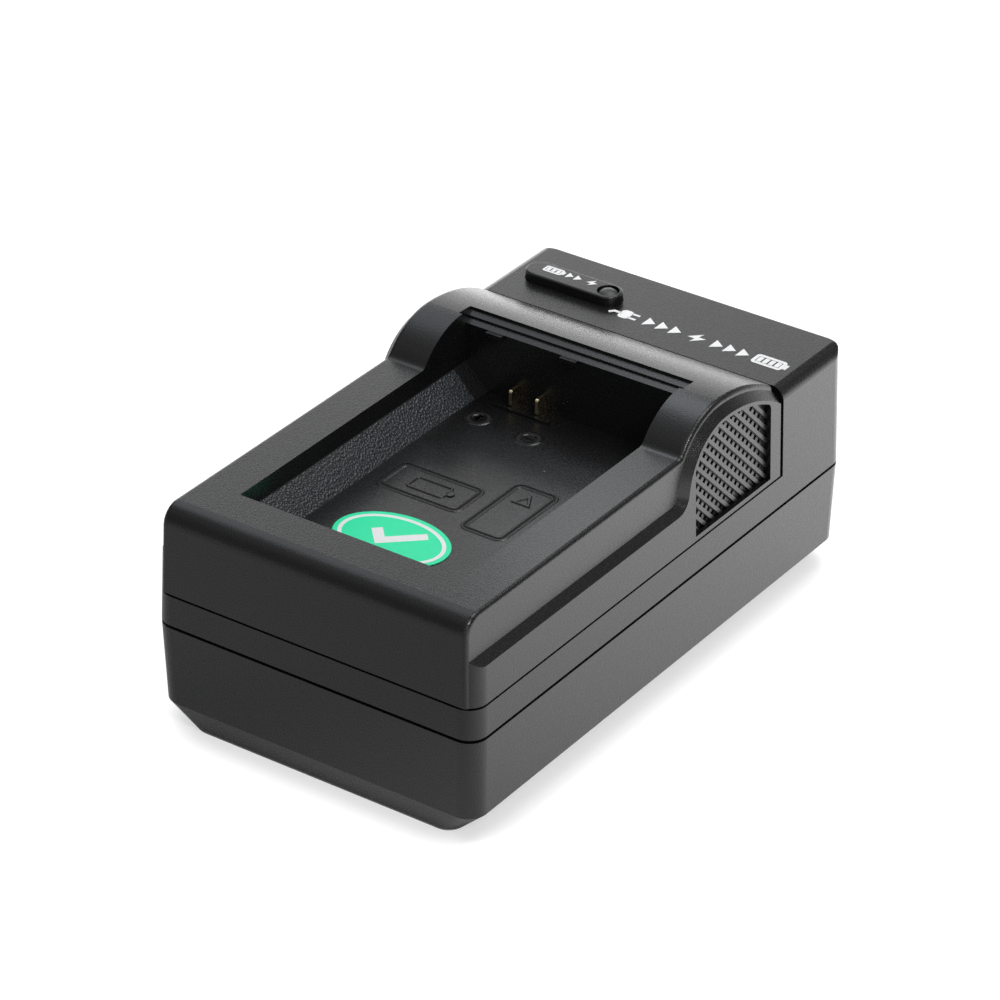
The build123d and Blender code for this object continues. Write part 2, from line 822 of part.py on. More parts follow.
# Contact blades and the leads that drop from their tails to the board
contact_end = bay_back + bay_wall + contact_tail
for name, x in zip(("positive", "negative"), contact_positions):
    with BuildPart() as contact:
        with BuildSketch(Plane.YZ.offset(x - contact_thickness / 2)) as blade:
            with Locations(((bay_back - contact_reach + contact_end) / 2, bay_floor + contact_height / 2)):
                Rectangle(contact_end - bay_back + contact_reach, contact_height)
            fillet(blade.vertices().group_by(Axis.X)[0].sort_by(Axis.Y)[-1], contact_round)
        extrude(amount=contact_thickness)
    contact.part.label = f"contact_{name}"
    export_step(contact.part, f"parts/contact_{name}.step")
    with BuildPart() as contact_lead:
        with BuildSketch(Plane.XY.offset(board_top)):
            with Locations((x, contact_end - 2 * lead_radius)):
                Circle(lead_radius)
        extrude(amount=bay_floor - board_top)
    contact_lead.part.label = f"contact_lead_{name}"
    export_step(contact_lead.part, f"parts/contact_lead_{name}.step")

# Oval sticker on the bay floor
with BuildPart() as inspection_sticker:
    with BuildSketch(Plane.XY.offset(bay_floor)):
        with Locations((sticker_x, sticker_y)):
            Ellipse(sticker_length / 2, sticker_width / 2)
    extrude(amount=sticker_thickness)
inspection_sticker.part.label = "inspection_sticker"
export_step(inspection_sticker.part, "parts/inspection_sticker.step")

# Fold-out plug: barrel with trunnions, two blades folded towards the front
with BuildPart() as plug_barrel:
    with BuildSketch(Plane.YZ.offset(-barrel_length / 2)):
        with Locations((plug_axis_y, plug_axis_height)):
            Circle(barrel_radius)
    extrude(amount=barrel_length)
    with BuildSketch(Plane.YZ.offset(-barrel_length / 2 - trunnion_length)):
        with Locations((plug_axis_y, plug_axis_height)):
            Circle(trunnion_radius)
    extrude(amount=barrel_length + 2 * trunnion_length)
    slot_length = blade_root + barrel_radius
    slot_middle = plug_axis_y + blade_root - slot_length / 2
    with Locations(*[(x, slot_middle, plug_axis_height) for x in blade_places]):
        Box(blade_thickness, slot_length, blade_width, mode=Mode.SUBTRACT)
plug_barrel.part.label = "plug_barrel"
export_step(plug_barrel.part, "parts/plug_barrel.step")

for name, x in zip(("left", "right"), blade_places):
    with BuildPart() as plug_blade:
        with BuildSketch(Plane.YZ.offset(x - blade_thickness / 2)) as blade:
            with Locations(((blade_tip_y + plug_axis_y + blade_root) / 2, plug_axis_height)):
                Rectangle(plug_axis_y + blade_root - blade_tip_y, blade_width)
            fillet(blade.vertices().group_by(Axis.X)[0], blade_tip)
            with Locations((blade_tip_y + blade_hole_setback, plug_axis_height)):
                Circle(blade_hole, mode=Mode.SUBTRACT)
        extrude(amount=blade_thickness)
    plug_blade.part.label = f"plug_blade_{name}"
    export_step(plug_blade.part, f"parts/plug_blade_{name}.step")

# Plug cover: closes the bearings from inside and lets the springs through
key_bottom = plug_axis_height + trunnion_radius + trunnion_gap
key_width = 2 * (trunnion_radius + trunnion_gap - fit_gap)
cover_screw_places = [(-cover_screw_x, plug_axis_y), (cover_screw_x, plug_axis_y)]
with BuildPart() as plug_cover:
    with BuildSketch(Plane.XY.offset(pocket_top)):
        with Locations((0, plug_axis_y)):
            Rectangle(2 * bearing_half, 2 * (pocket_radius + pocket_wall))
        with Locations(*cover_screw_places):
            Circle(cover_screw_boss)
        with Locations(*[(x, plug_axis_y) for x in blade_places]):
            Rectangle(spring_width + 2 * plug_gap, spring_thickness + 2 * plug_gap, mode=Mode.SUBTRACT)
    extrude(amount=cover_thickness)
    key_middle = pocket_half + bearing_wall / 2
    with Locations(*[(x, plug_axis_y, (key_bottom + pocket_top) / 2) for x in (-key_middle, key_middle)]):
        Box(bearing_wall, key_width, pocket_top - key_bottom)
    with Locations(*[(x, y, pocket_top + cover_thickness) for x, y in cover_screw_places]):
        Hole(small_screw_radius + fit_gap, depth=cover_thickness)
plug_cover.part.label = "plug_cover"
export_step(plug_cover.part, "parts/plug_cover.step")

for name, x in zip(("left", "right"), blade_places):
    spring_low = plug_axis_height + barrel_radius + spring_gap
    with BuildPart() as plug_spring:
        with BuildSketch(Plane.YZ.offset(x - spring_width / 2)):
            with Locations((plug_axis_y + spring_reach / 2, board_bottom - spring_thickness / 2)):
                Rectangle(spring_reach + spring_thickness, spring_thickness)
            with Locations((plug_axis_y, (spring_low + board_bottom) / 2)):
                Rectangle(spring_thickness, board_bottom - spring_low)
        extrude(amount=spring_width)
    plug_spring.part.label = f"plug_spring_{name}"
    export_step(plug_spring.part, f"parts/plug_spring_{name}.step")


def screw(radius, length, head_radius, head_height, drive_length):
    """Flat-head screw with a cross drive, standing under a seat at its own origin."""
    with BuildPart() as body:
        with BuildSketch():
            Circle(head_radius)
        extrude(amount=head_height)
        with BuildSketch():
            Circle(radius)
        extrude(amount=-length)
        with BuildSketch(Plane.XY.offset(head_height - drive_depth)):
            Rectangle(drive_size, drive_length)
            Rectangle(drive_length, drive_size)
        extrude(amount=drive_depth, mode=Mode.SUBTRACT)
    return body.part


# Screws: case screws enter from below, the small ones from above
with BuildPart() as case_screws:
    case_screw = screw(
        screw_radius,
        lower_top - screw_sink - screw_head_height + screw_bite - fit_gap,
        screw_head_radius,
        screw_head_height,
        drive_length,
    )
    case_screw_seat = screw_sink + screw_head_height
    with Locations(*[Location((x, y, case_screw_seat), (half_turn, 0, 0)) for x, y in boss_places]):
        add(case_screw)
case_screws.part.label = "case_screws"
export_step(case_screws.part, "parts/case_screws.step")

with BuildPart() as board_screws:
    board_screw = screw(
        small_screw_radius,
        board_thickness + small_screw_bite,
        small_screw_head,
        small_screw_head_height,
        small_drive_length,
    )
    with Locations(*[(x, y, board_top) for x, y in post_places]):
        add(board_screw)
board_screws.part.label = "board_screws"
export_step(board_screws.part, "parts/board_screws.step")

with BuildPart() as cover_screws:
    cover_screw = screw(
        small_screw_radius,
        cover_thickness + small_screw_bite,
        small_screw_head,
        cover_screw_head_height,
        small_drive_length,
    )
    with Locations(*[(x, y, pocket_top + cover_thickness) for x, y in cover_screw_places]):
        add(cover_screw)
cover_screws.part.label = "cover_screws"
export_step(cover_screws.part, "parts/cover_screws.step")

# Main board: notched at the rear around the case bosses
with BuildPart() as main_board:
    with BuildSketch(Plane.XY.offset(board_bottom)):
        with Locations((0, (board_front + board_rear) / 2)):
            Rectangle(2 * board_half, board_rear - board_front)
        notch_x = boss_x - boss_radius - board_notch_gap
        notch_y = boss_y - boss_radius - board_notch_gap
        for side in (-1, 1):
            with Locations((side * (notch_x + half_width) / 2, (notch_y + half_length) / 2)):
                Rectangle(half_width - notch_x, half_length - notch_y, mode=Mode.SUBTRACT)
        with Locations(*post_places):
            Circle(small_screw_radius + fit_gap, mode=Mode.SUBTRACT)
    extrude(amount=board_thickness)
main_board.part.label = "main_board"
export_step(main_board.part, "parts/main_board.step")

# Inlet jack: body under the board, round nose through the rear wall
jack_face = wall_rear - jack_setback
jack_front = wall_rear - wall - base_bevel_end - jack_gap
with BuildPart() as dc_jack:
    with Locations((jack_x, jack_front - jack_length / 2, jack_axis_height)):
        Box(jack_width, jack_length, jack_height)
    jack_plane = Plane(origin=(jack_x, jack_face, jack_axis_height), x_dir=(1, 0, 0), z_dir=(0, -1, 0))
    with BuildSketch(jack_plane):
        Circle(jack_nose_radius)
    extrude(amount=jack_face - jack_front)
    with BuildSketch(jack_plane):
        Circle(jack_bore_radius)
    extrude(amount=jack_bore_depth, mode=Mode.SUBTRACT)
    with BuildSketch(jack_plane.offset(jack_pin_setback)):
        Circle(jack_pin_radius)
    extrude(amount=jack_bore_depth - jack_pin_setback)
dc_jack.part.label = "dc_jack"
export_step(dc_jack.part, "parts/dc_jack.step")

# Transformer: core on the bobbin's base, winding between the bobbin's flanges
core_bottom = board_top + bobbin_base
core_window = (core_width - 2 * core_leg - core_middle) / 2
window_bottom = core_bottom + core_leg
window_top = core_bottom + core_height - core_leg
tube_width = core_middle + 2 * (winding_gap + bobbin_wall)
tube_depth = core_thickness + 2 * (winding_gap + bobbin_wall)
flange_width = core_middle + 2 * (core_window - winding_gap)
tube_bottom = window_bottom + winding_gap
tube_top = window_top - winding_gap

with BuildPart() as transformer_core:
    core_face = (core_x, core_y + core_thickness / 2, core_bottom + core_height / 2)
    leg_middle = (core_middle + core_window) / 2
    with BuildSketch(Plane(origin=core_face, x_dir=(1, 0, 0), z_dir=(0, -1, 0))):
        Rectangle(core_width, core_height)
        with Locations((-leg_middle, 0), (leg_middle, 0)):
            Rectangle(core_window, core_height - 2 * core_leg, mode=Mode.SUBTRACT)
    extrude(amount=core_thickness)
transformer_core.part.label = "transformer_core"
export_step(transformer_core.part, "parts/transformer_core.step")

with BuildPart() as transformer_bobbin:
    with BuildSketch(Plane.XY.offset(board_top)):
        with Locations((core_x, core_y)):
            Rectangle(core_width, bobbin_depth)
    extrude(amount=bobbin_base)
    post_depth = (bobbin_depth - core_thickness) / 2 - winding_gap
    post_offset = (bobbin_depth - post_depth) / 2
    with BuildSketch(Plane.XY.offset(core_bottom)):
        with Locations((core_x, core_y - post_offset), (core_x, core_y + post_offset)):
            Rectangle(flange_width, post_depth)
    extrude(amount=tube_bottom - core_bottom)
    for level in (tube_bottom, tube_top - bobbin_wall):
        with BuildSketch(Plane.XY.offset(level)):
            with Locations((core_x, core_y)):
                Rectangle(flange_width, bobbin_depth)
        extrude(amount=bobbin_wall)
    with BuildSketch(Plane.XY.offset(tube_bottom)):
        with Locations((core_x, core_y)):
            Rectangle(tube_width, tube_depth)
    extrude(amount=tube_top - tube_bottom)
    with BuildSketch(Plane.XY.offset(tube_bottom)):
        with Locations((core_x, core_y)):
            Rectangle(tube_width - 2 * bobbin_wall, tube_depth - 2 * bobbin_wall)
    extrude(amount=tube_top - tube_bottom, mode=Mode.SUBTRACT)
transformer_bobbin.part.label = "transformer_bobbin"
export_step(transformer_bobbin.part, "parts/transformer_bobbin.step")

with BuildPart() as transformer_winding:
    with BuildSketch(Plane.XY.offset(tube_bottom + bobbin_wall)):
        with Locations((core_x, core_y)):
            RectangleRounded(flange_width - 2 * winding_gap, bobbin_depth - 2 * winding_gap, inner_corner)
            Rectangle(tube_width, tube_depth, mode=Mode.SUBTRACT)
    extrude(amount=tube_top - tube_bottom - 2 * bobbin_wall)
transformer_winding.part.label = "transformer_winding"
export_step(transformer_winding.part, "parts/transformer_winding.step")


def can(radius, length):
    """Capacitor can along +Z with a crimped neck near its foot."""
    with BuildPart() as body:
        with BuildSketch(Plane.XZ):
            with BuildLine():
                Polyline(
                    (0, 0),
                    (radius, 0),
                    (radius, 2 * capacitor_crimp),
                    (radius - capacitor_crimp, 3 * capacitor_crimp),
                    (radius, 4 * capacitor_crimp),
                    (radius, length - capacitor_crimp),
                    (radius - capacitor_crimp, length),
                    (0, length),
                    close=True,
                )
            make_face()
        revolve(axis=Axis.Z)
    return body.part


with BuildPart() as input_capacitor:
    capacitor_foot = (capacitor_x, capacitor_y - capacitor_length / 2, board_top + capacitor_radius)
    with Locations(Location(capacitor_foot, (-quarter_turn, 0, 0))):
        add(can(capacitor_radius, capacitor_length))
input_capacitor.part.label = "input_capacitor"
export_step(input_capacitor.part, "parts/input_capacitor.step")

with BuildPart() as output_capacitor:
    with Locations((output_x, output_y, board_top)):
        add(can(output_radius, output_height))
output_capacitor.part.label = "output_capacitor"
export_step(output_capacitor.part, "parts/output_capacitor.step")

# Drum choke
with BuildPart() as choke:
    with BuildSketch(Plane(origin=(choke_x, choke_y, board_top), x_dir=(1, 0, 0), z_dir=(0, -1, 0))):
        with BuildLine():
            Polyline(
                (0, 0),
                (choke_radius, 0),
                (choke_radius, choke_flange),
                (choke_waist, choke_flange),
                (choke_waist, choke_height - choke_flange),
                (choke_radius, choke_height - choke_flange),
                (choke_radius, choke_height),
                (0, choke_height),
                close=True,
            )
        make_face()
    revolve(axis=Axis((choke_x, choke_y, 0), (0, 0, 1)))
choke.part.label = "choke"
export_step(choke.part, "parts/choke.step")


def axial(radius, length, pitch):
    """Axial part along X with its leads bent down to the board, at its own origin."""
    height = axial_rise + radius
    with BuildPart() as body:
        with BuildSketch(Plane.YZ.offset(-length / 2)):
            with Locations((0, height)):
                Circle(radius)
        extrude(amount=length)
        with BuildSketch(Plane.YZ.offset(-pitch / 2)):
            with Locations((0, height)):
                Rectangle(axial_lead, axial_lead)
        extrude(amount=pitch)
        with BuildSketch():
            with Locations((-pitch / 2, 0), (pitch / 2, 0)):
                Rectangle(axial_lead, axial_lead)
        extrude(amount=height + axial_lead / 2)
    return body.part


with BuildPart() as fuse_resistor:
    with Locations((fuse_x, fuse_y, board_top)):
        add(axial(fuse_radius, fuse_length, fuse_pitch))
fuse_resistor.part.label = "fuse_resistor"
export_step(fuse_resistor.part, "parts/fuse_resistor.step")

with BuildPart() as rectifier_diodes:
    with Locations((diode_x, diode_y, board_top)):
        with GridLocations(diode_pitch, diode_spacing, 1, diode_count):
            add(axial(diode_radius, diode_length, diode_pitch))
rectifier_diodes.part.label = "rectifier_diodes"
export_step(rectifier_diodes.part, "parts/rectifier_diodes.step")


def chip(length, legs):
    """Two-row chip along X standing on its legs, at its own origin."""
    with BuildPart() as body:
        with BuildSketch(Plane.XY.offset(chip_rise)):
            Rectangle(length, chip_width)
        extrude(amount=chip_height)
        with BuildSketch():
            for row in (-1, 1):
                with Locations((0, row * (chip_width + chip_leg) / 2)):
                    with GridLocations(chip_leg_pitch, 1, legs, 1):
                        Rectangle(chip_leg, chip_leg)
        extrude(amount=chip_rise + chip_height / 2)
    return body.part


chips = (
    ("controller_chip", controller_length, controller_leg_count, controller_x, controller_y),
    ("optocoupler", opto_length, opto_leg_count, opto_x, opto_y),
    ("charge_chip", charge_chip_length, charge_chip_leg_count, charge_chip_x, charge_chip_y),
)
for name, length, legs, x, y in chips:
    with BuildPart() as board_chip:
        with Locations((x, y, board_top)):
            add(chip(length, legs))
    board_chip.part.label = name
    export_step(board_chip.part, f"parts/{name}.step")
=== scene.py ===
"""Looks of the camera battery charger: plastics, metals, printed signs, floor and studio light.

Every size is in millimetres unless a name says otherwise, and MM turns it into metres.
"""
import json
from math import cos, radians, sin

import bpy
import numpy as np
from mathutils import Euler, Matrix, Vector


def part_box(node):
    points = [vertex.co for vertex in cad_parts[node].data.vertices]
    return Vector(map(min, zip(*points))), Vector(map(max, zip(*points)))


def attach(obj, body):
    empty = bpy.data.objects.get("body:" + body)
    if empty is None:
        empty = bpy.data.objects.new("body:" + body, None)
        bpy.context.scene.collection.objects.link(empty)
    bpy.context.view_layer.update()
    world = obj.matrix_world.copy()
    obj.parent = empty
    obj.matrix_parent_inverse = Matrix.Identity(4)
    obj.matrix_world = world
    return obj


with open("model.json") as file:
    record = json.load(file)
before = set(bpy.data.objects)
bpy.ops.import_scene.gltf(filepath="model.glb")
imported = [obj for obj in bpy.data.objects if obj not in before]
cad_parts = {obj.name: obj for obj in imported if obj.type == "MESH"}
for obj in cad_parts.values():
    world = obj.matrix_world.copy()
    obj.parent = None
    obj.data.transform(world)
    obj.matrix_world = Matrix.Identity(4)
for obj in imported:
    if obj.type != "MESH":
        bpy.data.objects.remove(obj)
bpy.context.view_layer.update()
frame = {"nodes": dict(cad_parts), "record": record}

MM = 0.001

# Camera of the photograph
CAMERA_PLACE = (331.9, -479.1, 370.5)
CAMERA_TURN = (59.238, -0.280, 35.008)
CAMERA_LENS = 167.33
SENSOR = 36.0


def node_box(name):
    """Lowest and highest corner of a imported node, in millimetres."""
    return tuple(np.array(corner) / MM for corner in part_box(name))


# Levels and places on the charger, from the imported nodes
sticker_low, sticker_high = node_box("inspection_sticker")
window_low, window_high = node_box("charge_window")
lamp_low, lamp_high = node_box("status_led")
case_low, case_high = node_box("upper_case")
plus_low, plus_high = node_box("contact_positive")
minus_low, minus_high = node_box("contact_negative")
sticker_middle = (sticker_low + sticker_high)[:2] / 2
sticker_half = (sticker_high - sticker_low)[:2] / 2
window_middle = (window_low + window_high)[:2] / 2
contact_x = (plus_low + plus_high + minus_low + minus_high)[0] / 4
contact_tips = np.array([contact_x, min(plus_low[1], minus_low[1])])
BAY_FLOOR = sticker_low[2]
STICKER_TOP = sticker_high[2]
BLOCK_TOP = case_high[2]
WINDOW_TOP = window_high[2]

# Marks moulded into the bay floor: steps from the sticker's middle and from the contacts
LIP_OUTER = 0.62
LIP_CREST = 0.42
LIP_INNER = 0.26
LIP_RISE = 0.12
# Height of the flat band between the lips that carries the painted groove shade
GROOVE_SHADE_RISE = 0.012
RIDGE_HALF = 0.3
RIDGE_CREST = 0.14
RIDGE_RISE = 0.17
ROOT = 0.1
FRAME_CORNER = 1.0
LABEL_STEP = (-4.05, 14.95)
LABEL_SIZE = (13.9, 6.9)
ARROW_STEP = (9.35, 15.85)
ARROW_SIZE = (6.7, 14.3)
ARROW_HALF = 1.25
ARROW_RUN = 2.3
ARROW_RISE = 5.05
SIGN_RADIUS = 1.55
SIGN_BAR = (0.8, 0.22)
CELL_SIZE = (6.2, 3.0)
CELL_TIP = (0.55, 0.65)
PLUS_STEP = (-4.45, -5.1)
MINUS_STEP = (4.95, -5.7)

# Printed signs
INK = 0.025
STRIP_LEFT = -6.3
STRIP_RIGHT = 24.4
STRIP_HEIGHT = 2.75
STRIP_STEP = -0.55
HEAD_COUNT = 3
HEAD_PITCH = 0.84
PLUG_SHARE = 0.07
FIRST_HEADS_SHARE = 0.244
BOLT_SHARE = 0.485
SECOND_HEADS_SHARE = 0.635
BATTERY_SHARE = 0.9
STRIP_CELLS = 4
WINDOW_SIGN_HEIGHT = 1.75
WINDOW_SIGN_STEP = 0.55
WINDOW_BATTERY = 4.4
WINDOW_HEADS = 8.0
WINDOW_BOLT = 11.4
WINDOW_CELLS = 3
WINDOW_HEAD_COUNT = 2
STICKER_MARGIN = 1.05
STICKER_RING = 0.6
TICK = ((-3.5, 1.3), (-1.2, -1.2), (3.9, 3.4))
TICK_HALF = 0.8


# Meshes from numpy grids
def mesh_piece(name, points, faces, material, slot):
    """Object from a vertex array in millimetres and a list of faces, riding on the housing."""
    mesh = bpy.data.meshes.new(name)
    mesh.from_pydata((points * MM).tolist(), [], faces)
    mesh.update()
    piece = bpy.data.objects.new(name, mesh)
    bpy.context.scene.collection.objects.link(piece)
    mesh.materials.append(material)
    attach(piece, "housing")
    return piece


def grid_faces(rows, columns, wrap_rows):
    """Quads of a grid whose columns close on themselves, and whose rows close if asked."""
    row = np.arange(rows if wrap_rows else rows - 1)
    column = np.arange(columns)
    i, j = np.meshgrid(row, column, indexing="ij")
    i_next = (i + 1) % rows
    j_next = (j + 1) % columns
    corners = [i * columns + j, i_next * columns + j, i_next * columns + j_next, i * columns + j_next]
    return np.stack(corners, axis=-1).reshape(-1, 4)


def carried(path, profile, level):
    """Profile (across, up) carried along a closed flat path: point + across * normal, up above a level.

    The normal at a point halves the turn between its two runs and is lengthened by the
    cosine of half that turn, so straight runs keep their width round a corner.
    """
    before = path - np.roll(path, 1, axis=0)
    after = np.roll(path, -1, axis=0) - path
    before /= np.linalg.norm(before, axis=1, keepdims=True)
    after /= np.linalg.norm(after, axis=1, keepdims=True)
    normal_before = np.stack([before[:, 1], -before[:, 0]], axis=1)
    normal_after = np.stack([after[:, 1], -after[:, 0]], axis=1)
    normal = normal_before + normal_after
    normal /= np.linalg.norm(normal, axis=1, keepdims=True)
    normal /= np.sum(normal * normal_after, axis=1, keepdims=True)
    flat = path[:, None, :] + profile[None, :, 0, None] * normal[:, None, :]
    height = np.broadcast_to(level + profile[:, 1], flat.shape[:2])
    points = np.concatenate([flat, height[..., None]], axis=-1)
    return points.reshape(-1, 3), grid_faces(len(path), len(profile), True)[:, ::-1]


def filled(outline, level, thickness):
    """Flat sign: one fan of triangles above, one below and a rim between them.

    Point (turn, layer) = outline(turn) at the layer's level, and each fan's hub is the outline's mean.
    """
    count = len(outline)
    ring = np.arange(count)
    after = np.roll(ring, -1)
    hub = np.full(count, 2 * count)
    low = np.full((count + 1, 1), level)
    layer = np.concatenate([outline, outline.mean(axis=0)[None]])
    upper = np.hstack([layer, low + thickness])
    lower = np.hstack([layer, low])
    points = np.concatenate([upper[:count], lower[:count], upper[count:], lower[count:]])
    faces = [
        np.stack([hub, ring, after], axis=1),
        np.stack([hub + 1, after + count, ring + count], axis=1),
        np.stack([ring, ring + count, after + count], axis=1),
        np.stack([ring, after + count, after], axis=1),
    ]
    return points, np.concatenate(faces)


def joined(parts):
    """One vertex array and one list of faces from several (points, faces) pairs."""
    starts = np.cumsum([0] + [len(points) for points, faces in parts[:-1]])
    faces = []
    for (points, part_faces), start in zip(parts, starts):
        faces += (part_faces + start).tolist()
    return np.concatenate([points for points, part_faces in parts]), faces


def rounded_frame(x, y, width, height, corner, steps=6):
    """Closed path round a rectangle: a quarter circle at each corner, counter-clockwise."""
    turn = np.linspace(0, np.pi / 2, steps)
    quarter = np.arange(4)[:, None] * np.pi / 2 + turn[None, :]
    side = np.array([[1, 1], [-1, 1], [-1, -1], [1, -1]])
    centre = np.array([x, y]) + side * np.array([width / 2 - corner, height / 2 - corner])
    points = centre[:, None, :] + corner * np.stack([np.cos(quarter), np.sin(quarter)], axis=-1)
    return points.reshape(-1, 2)


def ellipse(x, y, half_width, half_height, steps=48):
    """Closed path round an ellipse: the middle plus the half widths times cosine and sine."""
    turn = np.arange(steps) * 2 * np.pi / steps
    return np.stack([x + half_width * np.cos(turn), y + half_height * np.sin(turn)], axis=1)


def placed(shape, x, y, size):
    """Small sign drawn about its own middle, scaled by a size and moved to a place."""
    return np.array(shape) * size + np.array([x, y])


# Shader helpers
def socket(group, name, kind, way, value=None):
    """Adds one named socket to a node group."""
    made = group.interface.new_socket(name=name, in_out=way, socket_type=kind)
    if value is not None:
        made.default_value = value
    return made


def node(tree, kind, place, **settings):
    """Adds a node of a kind at a place and sets its own settings."""
    made = tree.nodes.new(kind)
    made.location = place
    for name, value in settings.items():
        setattr(made, name, value)
    return made


def grain_group():
    """Spark-eroded mould skin: fine noise over rounded pits, as a height and a tone mask."""
    group = bpy.data.node_groups.new("Spark eroded grain", "ShaderNodeTree")
    socket(group, "Vector", "NodeSocketVector", "INPUT")
    socket(group, "Pits per metre", "NodeSocketFloat", "INPUT", 3000.0)
    socket(group, "Pit share", "NodeSocketFloat", "INPUT", 0.5)
    socket(group, "Height", "NodeSocketFloat", "OUTPUT")
    socket(group, "Tone", "NodeSocketFloat", "OUTPUT")
    inside = node(group, "NodeGroupInput", (-900, 0))
    outside = node(group, "NodeGroupOutput", (500, 0))
    noise = node(group, "ShaderNodeTexNoise", (-600, 150))
    noise.inputs["Detail"].default_value = 3.0
    noise.inputs["Roughness"].default_value = 0.6
    pits = node(group, "ShaderNodeTexVoronoi", (-600, -150), feature="F1")
    mix = node(group, "ShaderNodeMix", (-200, 0))
    tone = node(group, "ShaderNodeMapRange", (150, -150))
    tone.inputs["From Min"].default_value = 0.3
    tone.inputs["From Max"].default_value = 0.7
    link = group.links.new
    link(inside.outputs["Vector"], noise.inputs["Vector"])
    link(inside.outputs["Vector"], pits.inputs["Vector"])
    link(inside.outputs["Pits per metre"], noise.inputs["Scale"])
    link(inside.outputs["Pits per metre"], pits.inputs["Scale"])
    link(inside.outputs["Pit share"], mix.inputs["Factor"])
    link(noise.outputs["Fac"], mix.inputs["A"])
    link(pits.outputs["Distance"], mix.inputs["B"])
    link(mix.outputs["Result"], outside.inputs["Height"])
    link(noise.outputs["Fac"], tone.inputs["Value"])
    link(tone.outputs["Result"], outside.inputs["Tone"])
    return group


def dust_group():
    """Sparse specks that settle on upward faces, as one mask."""
    group = bpy.data.node_groups.new("Settled dust", "ShaderNodeTree")
    socket(group, "Vector", "NodeSocketVector", "INPUT")
    socket(group, "Specks per metre", "NodeSocketFloat", "INPUT", 180.0)
    socket(group, "Speck size", "NodeSocketFloat", "INPUT", 0.022)
    socket(group, "Bare share", "NodeSocketFloat", "INPUT", 0.86)
    socket(group, "Mask", "NodeSocketFloat", "OUTPUT")
    inside = node(group, "NodeGroupInput", (-1100, 0))
    outside = node(group, "NodeGroupOutput", (700, 0))
    specks = node(group, "ShaderNodeTexVoronoi", (-800, 100))
    spot = node(group, "ShaderNodeMath", (-500, 100), operation="LESS_THAN")
    chance = node(group, "ShaderNodeSeparateColor", (-500, -80))
    few = node(group, "ShaderNodeMath", (-250, -80), operation="GREATER_THAN")
    picked = node(group, "ShaderNodeMath", (0, 40), operation="MULTIPLY")
    surface = node(group, "ShaderNodeNewGeometry", (-500, -350))
    split = node(group, "ShaderNodeSeparateXYZ", (-250, -350))
    upward = node(group, "ShaderNodeMapRange", (0, -350))
    upward.inputs["From Min"].default_value = 0.3
    upward.inputs["From Max"].default_value = 0.95
    settled = node(group, "ShaderNodeMath", (300, 0), operation="MULTIPLY")
    link = group.links.new
    link(inside.outputs["Vector"], specks.inputs["Vector"])
    link(inside.outputs["Specks per metre"], specks.inputs["Scale"])
    link(specks.outputs["Distance"], spot.inputs[0])
    link(inside.outputs["Speck size"], spot.inputs[1])
    link(specks.outputs["Color"], chance.inputs["Color"])
    link(chance.outputs["Red"], few.inputs[0])
    link(inside.outputs["Bare share"], few.inputs[1])
    link(spot.outputs["Value"], picked.inputs[0])
    link(few.outputs["Value"], picked.inputs[1])
    link(surface.outputs["Normal"], split.inputs["Vector"])
    link(split.outputs["Z"], upward.inputs["Value"])
    link(picked.outputs["Value"], settled.inputs[0])
    link(upward.outputs["Result"], settled.inputs[1])
    link(settled.outputs["Value"], outside.inputs["Mask"])
    return group


def drawn_group():
    """Fine lines left by rolling or drawing metal, along one axis, as a height and a tone."""
    group = bpy.data.node_groups.new("Drawn lines", "ShaderNodeTree")
    socket(group, "Vector", "NodeSocketVector", "INPUT")
    socket(group, "Stretch", "NodeSocketVector", "INPUT", (1.0, 0.03, 1.0))
    socket(group, "Lines per metre", "NodeSocketFloat", "INPUT", 6000.0)
    socket(group, "Height", "NodeSocketFloat", "OUTPUT")
    socket(group, "Tone", "NodeSocketFloat", "OUTPUT")
    inside = node(group, "NodeGroupInput", (-900, 0))
    outside = node(group, "NodeGroupOutput", (400, 0))
    stretched = node(group, "ShaderNodeVectorMath", (-650, 0), operation="MULTIPLY")
    lines = node(group, "ShaderNodeTexNoise", (-400, 100))
    lines.inputs["Detail"].default_value = 4.0
    stains = node(group, "ShaderNodeTexNoise", (-400, -150))
    stains.inputs["Scale"].default_value = 350.0
    tone = node(group, "ShaderNodeMapRange", (-100, -150))
    tone.inputs["From Min"].default_value = 0.35
    tone.inputs["From Max"].default_value = 0.65
    link = group.links.new
    link(inside.outputs["Vector"], stretched.inputs[0])
    link(inside.outputs["Stretch"], stretched.inputs[1])
    link(stretched.outputs["Vector"], lines.inputs["Vector"])
    link(inside.outputs["Lines per metre"], lines.inputs["Scale"])
    link(inside.outputs["Vector"], stains.inputs["Vector"])
    link(stains.outputs["Fac"], tone.inputs["Value"])
    link(lines.outputs["Fac"], outside.inputs["Height"])
    link(tone.outputs["Result"], outside.inputs["Tone"])
    return group


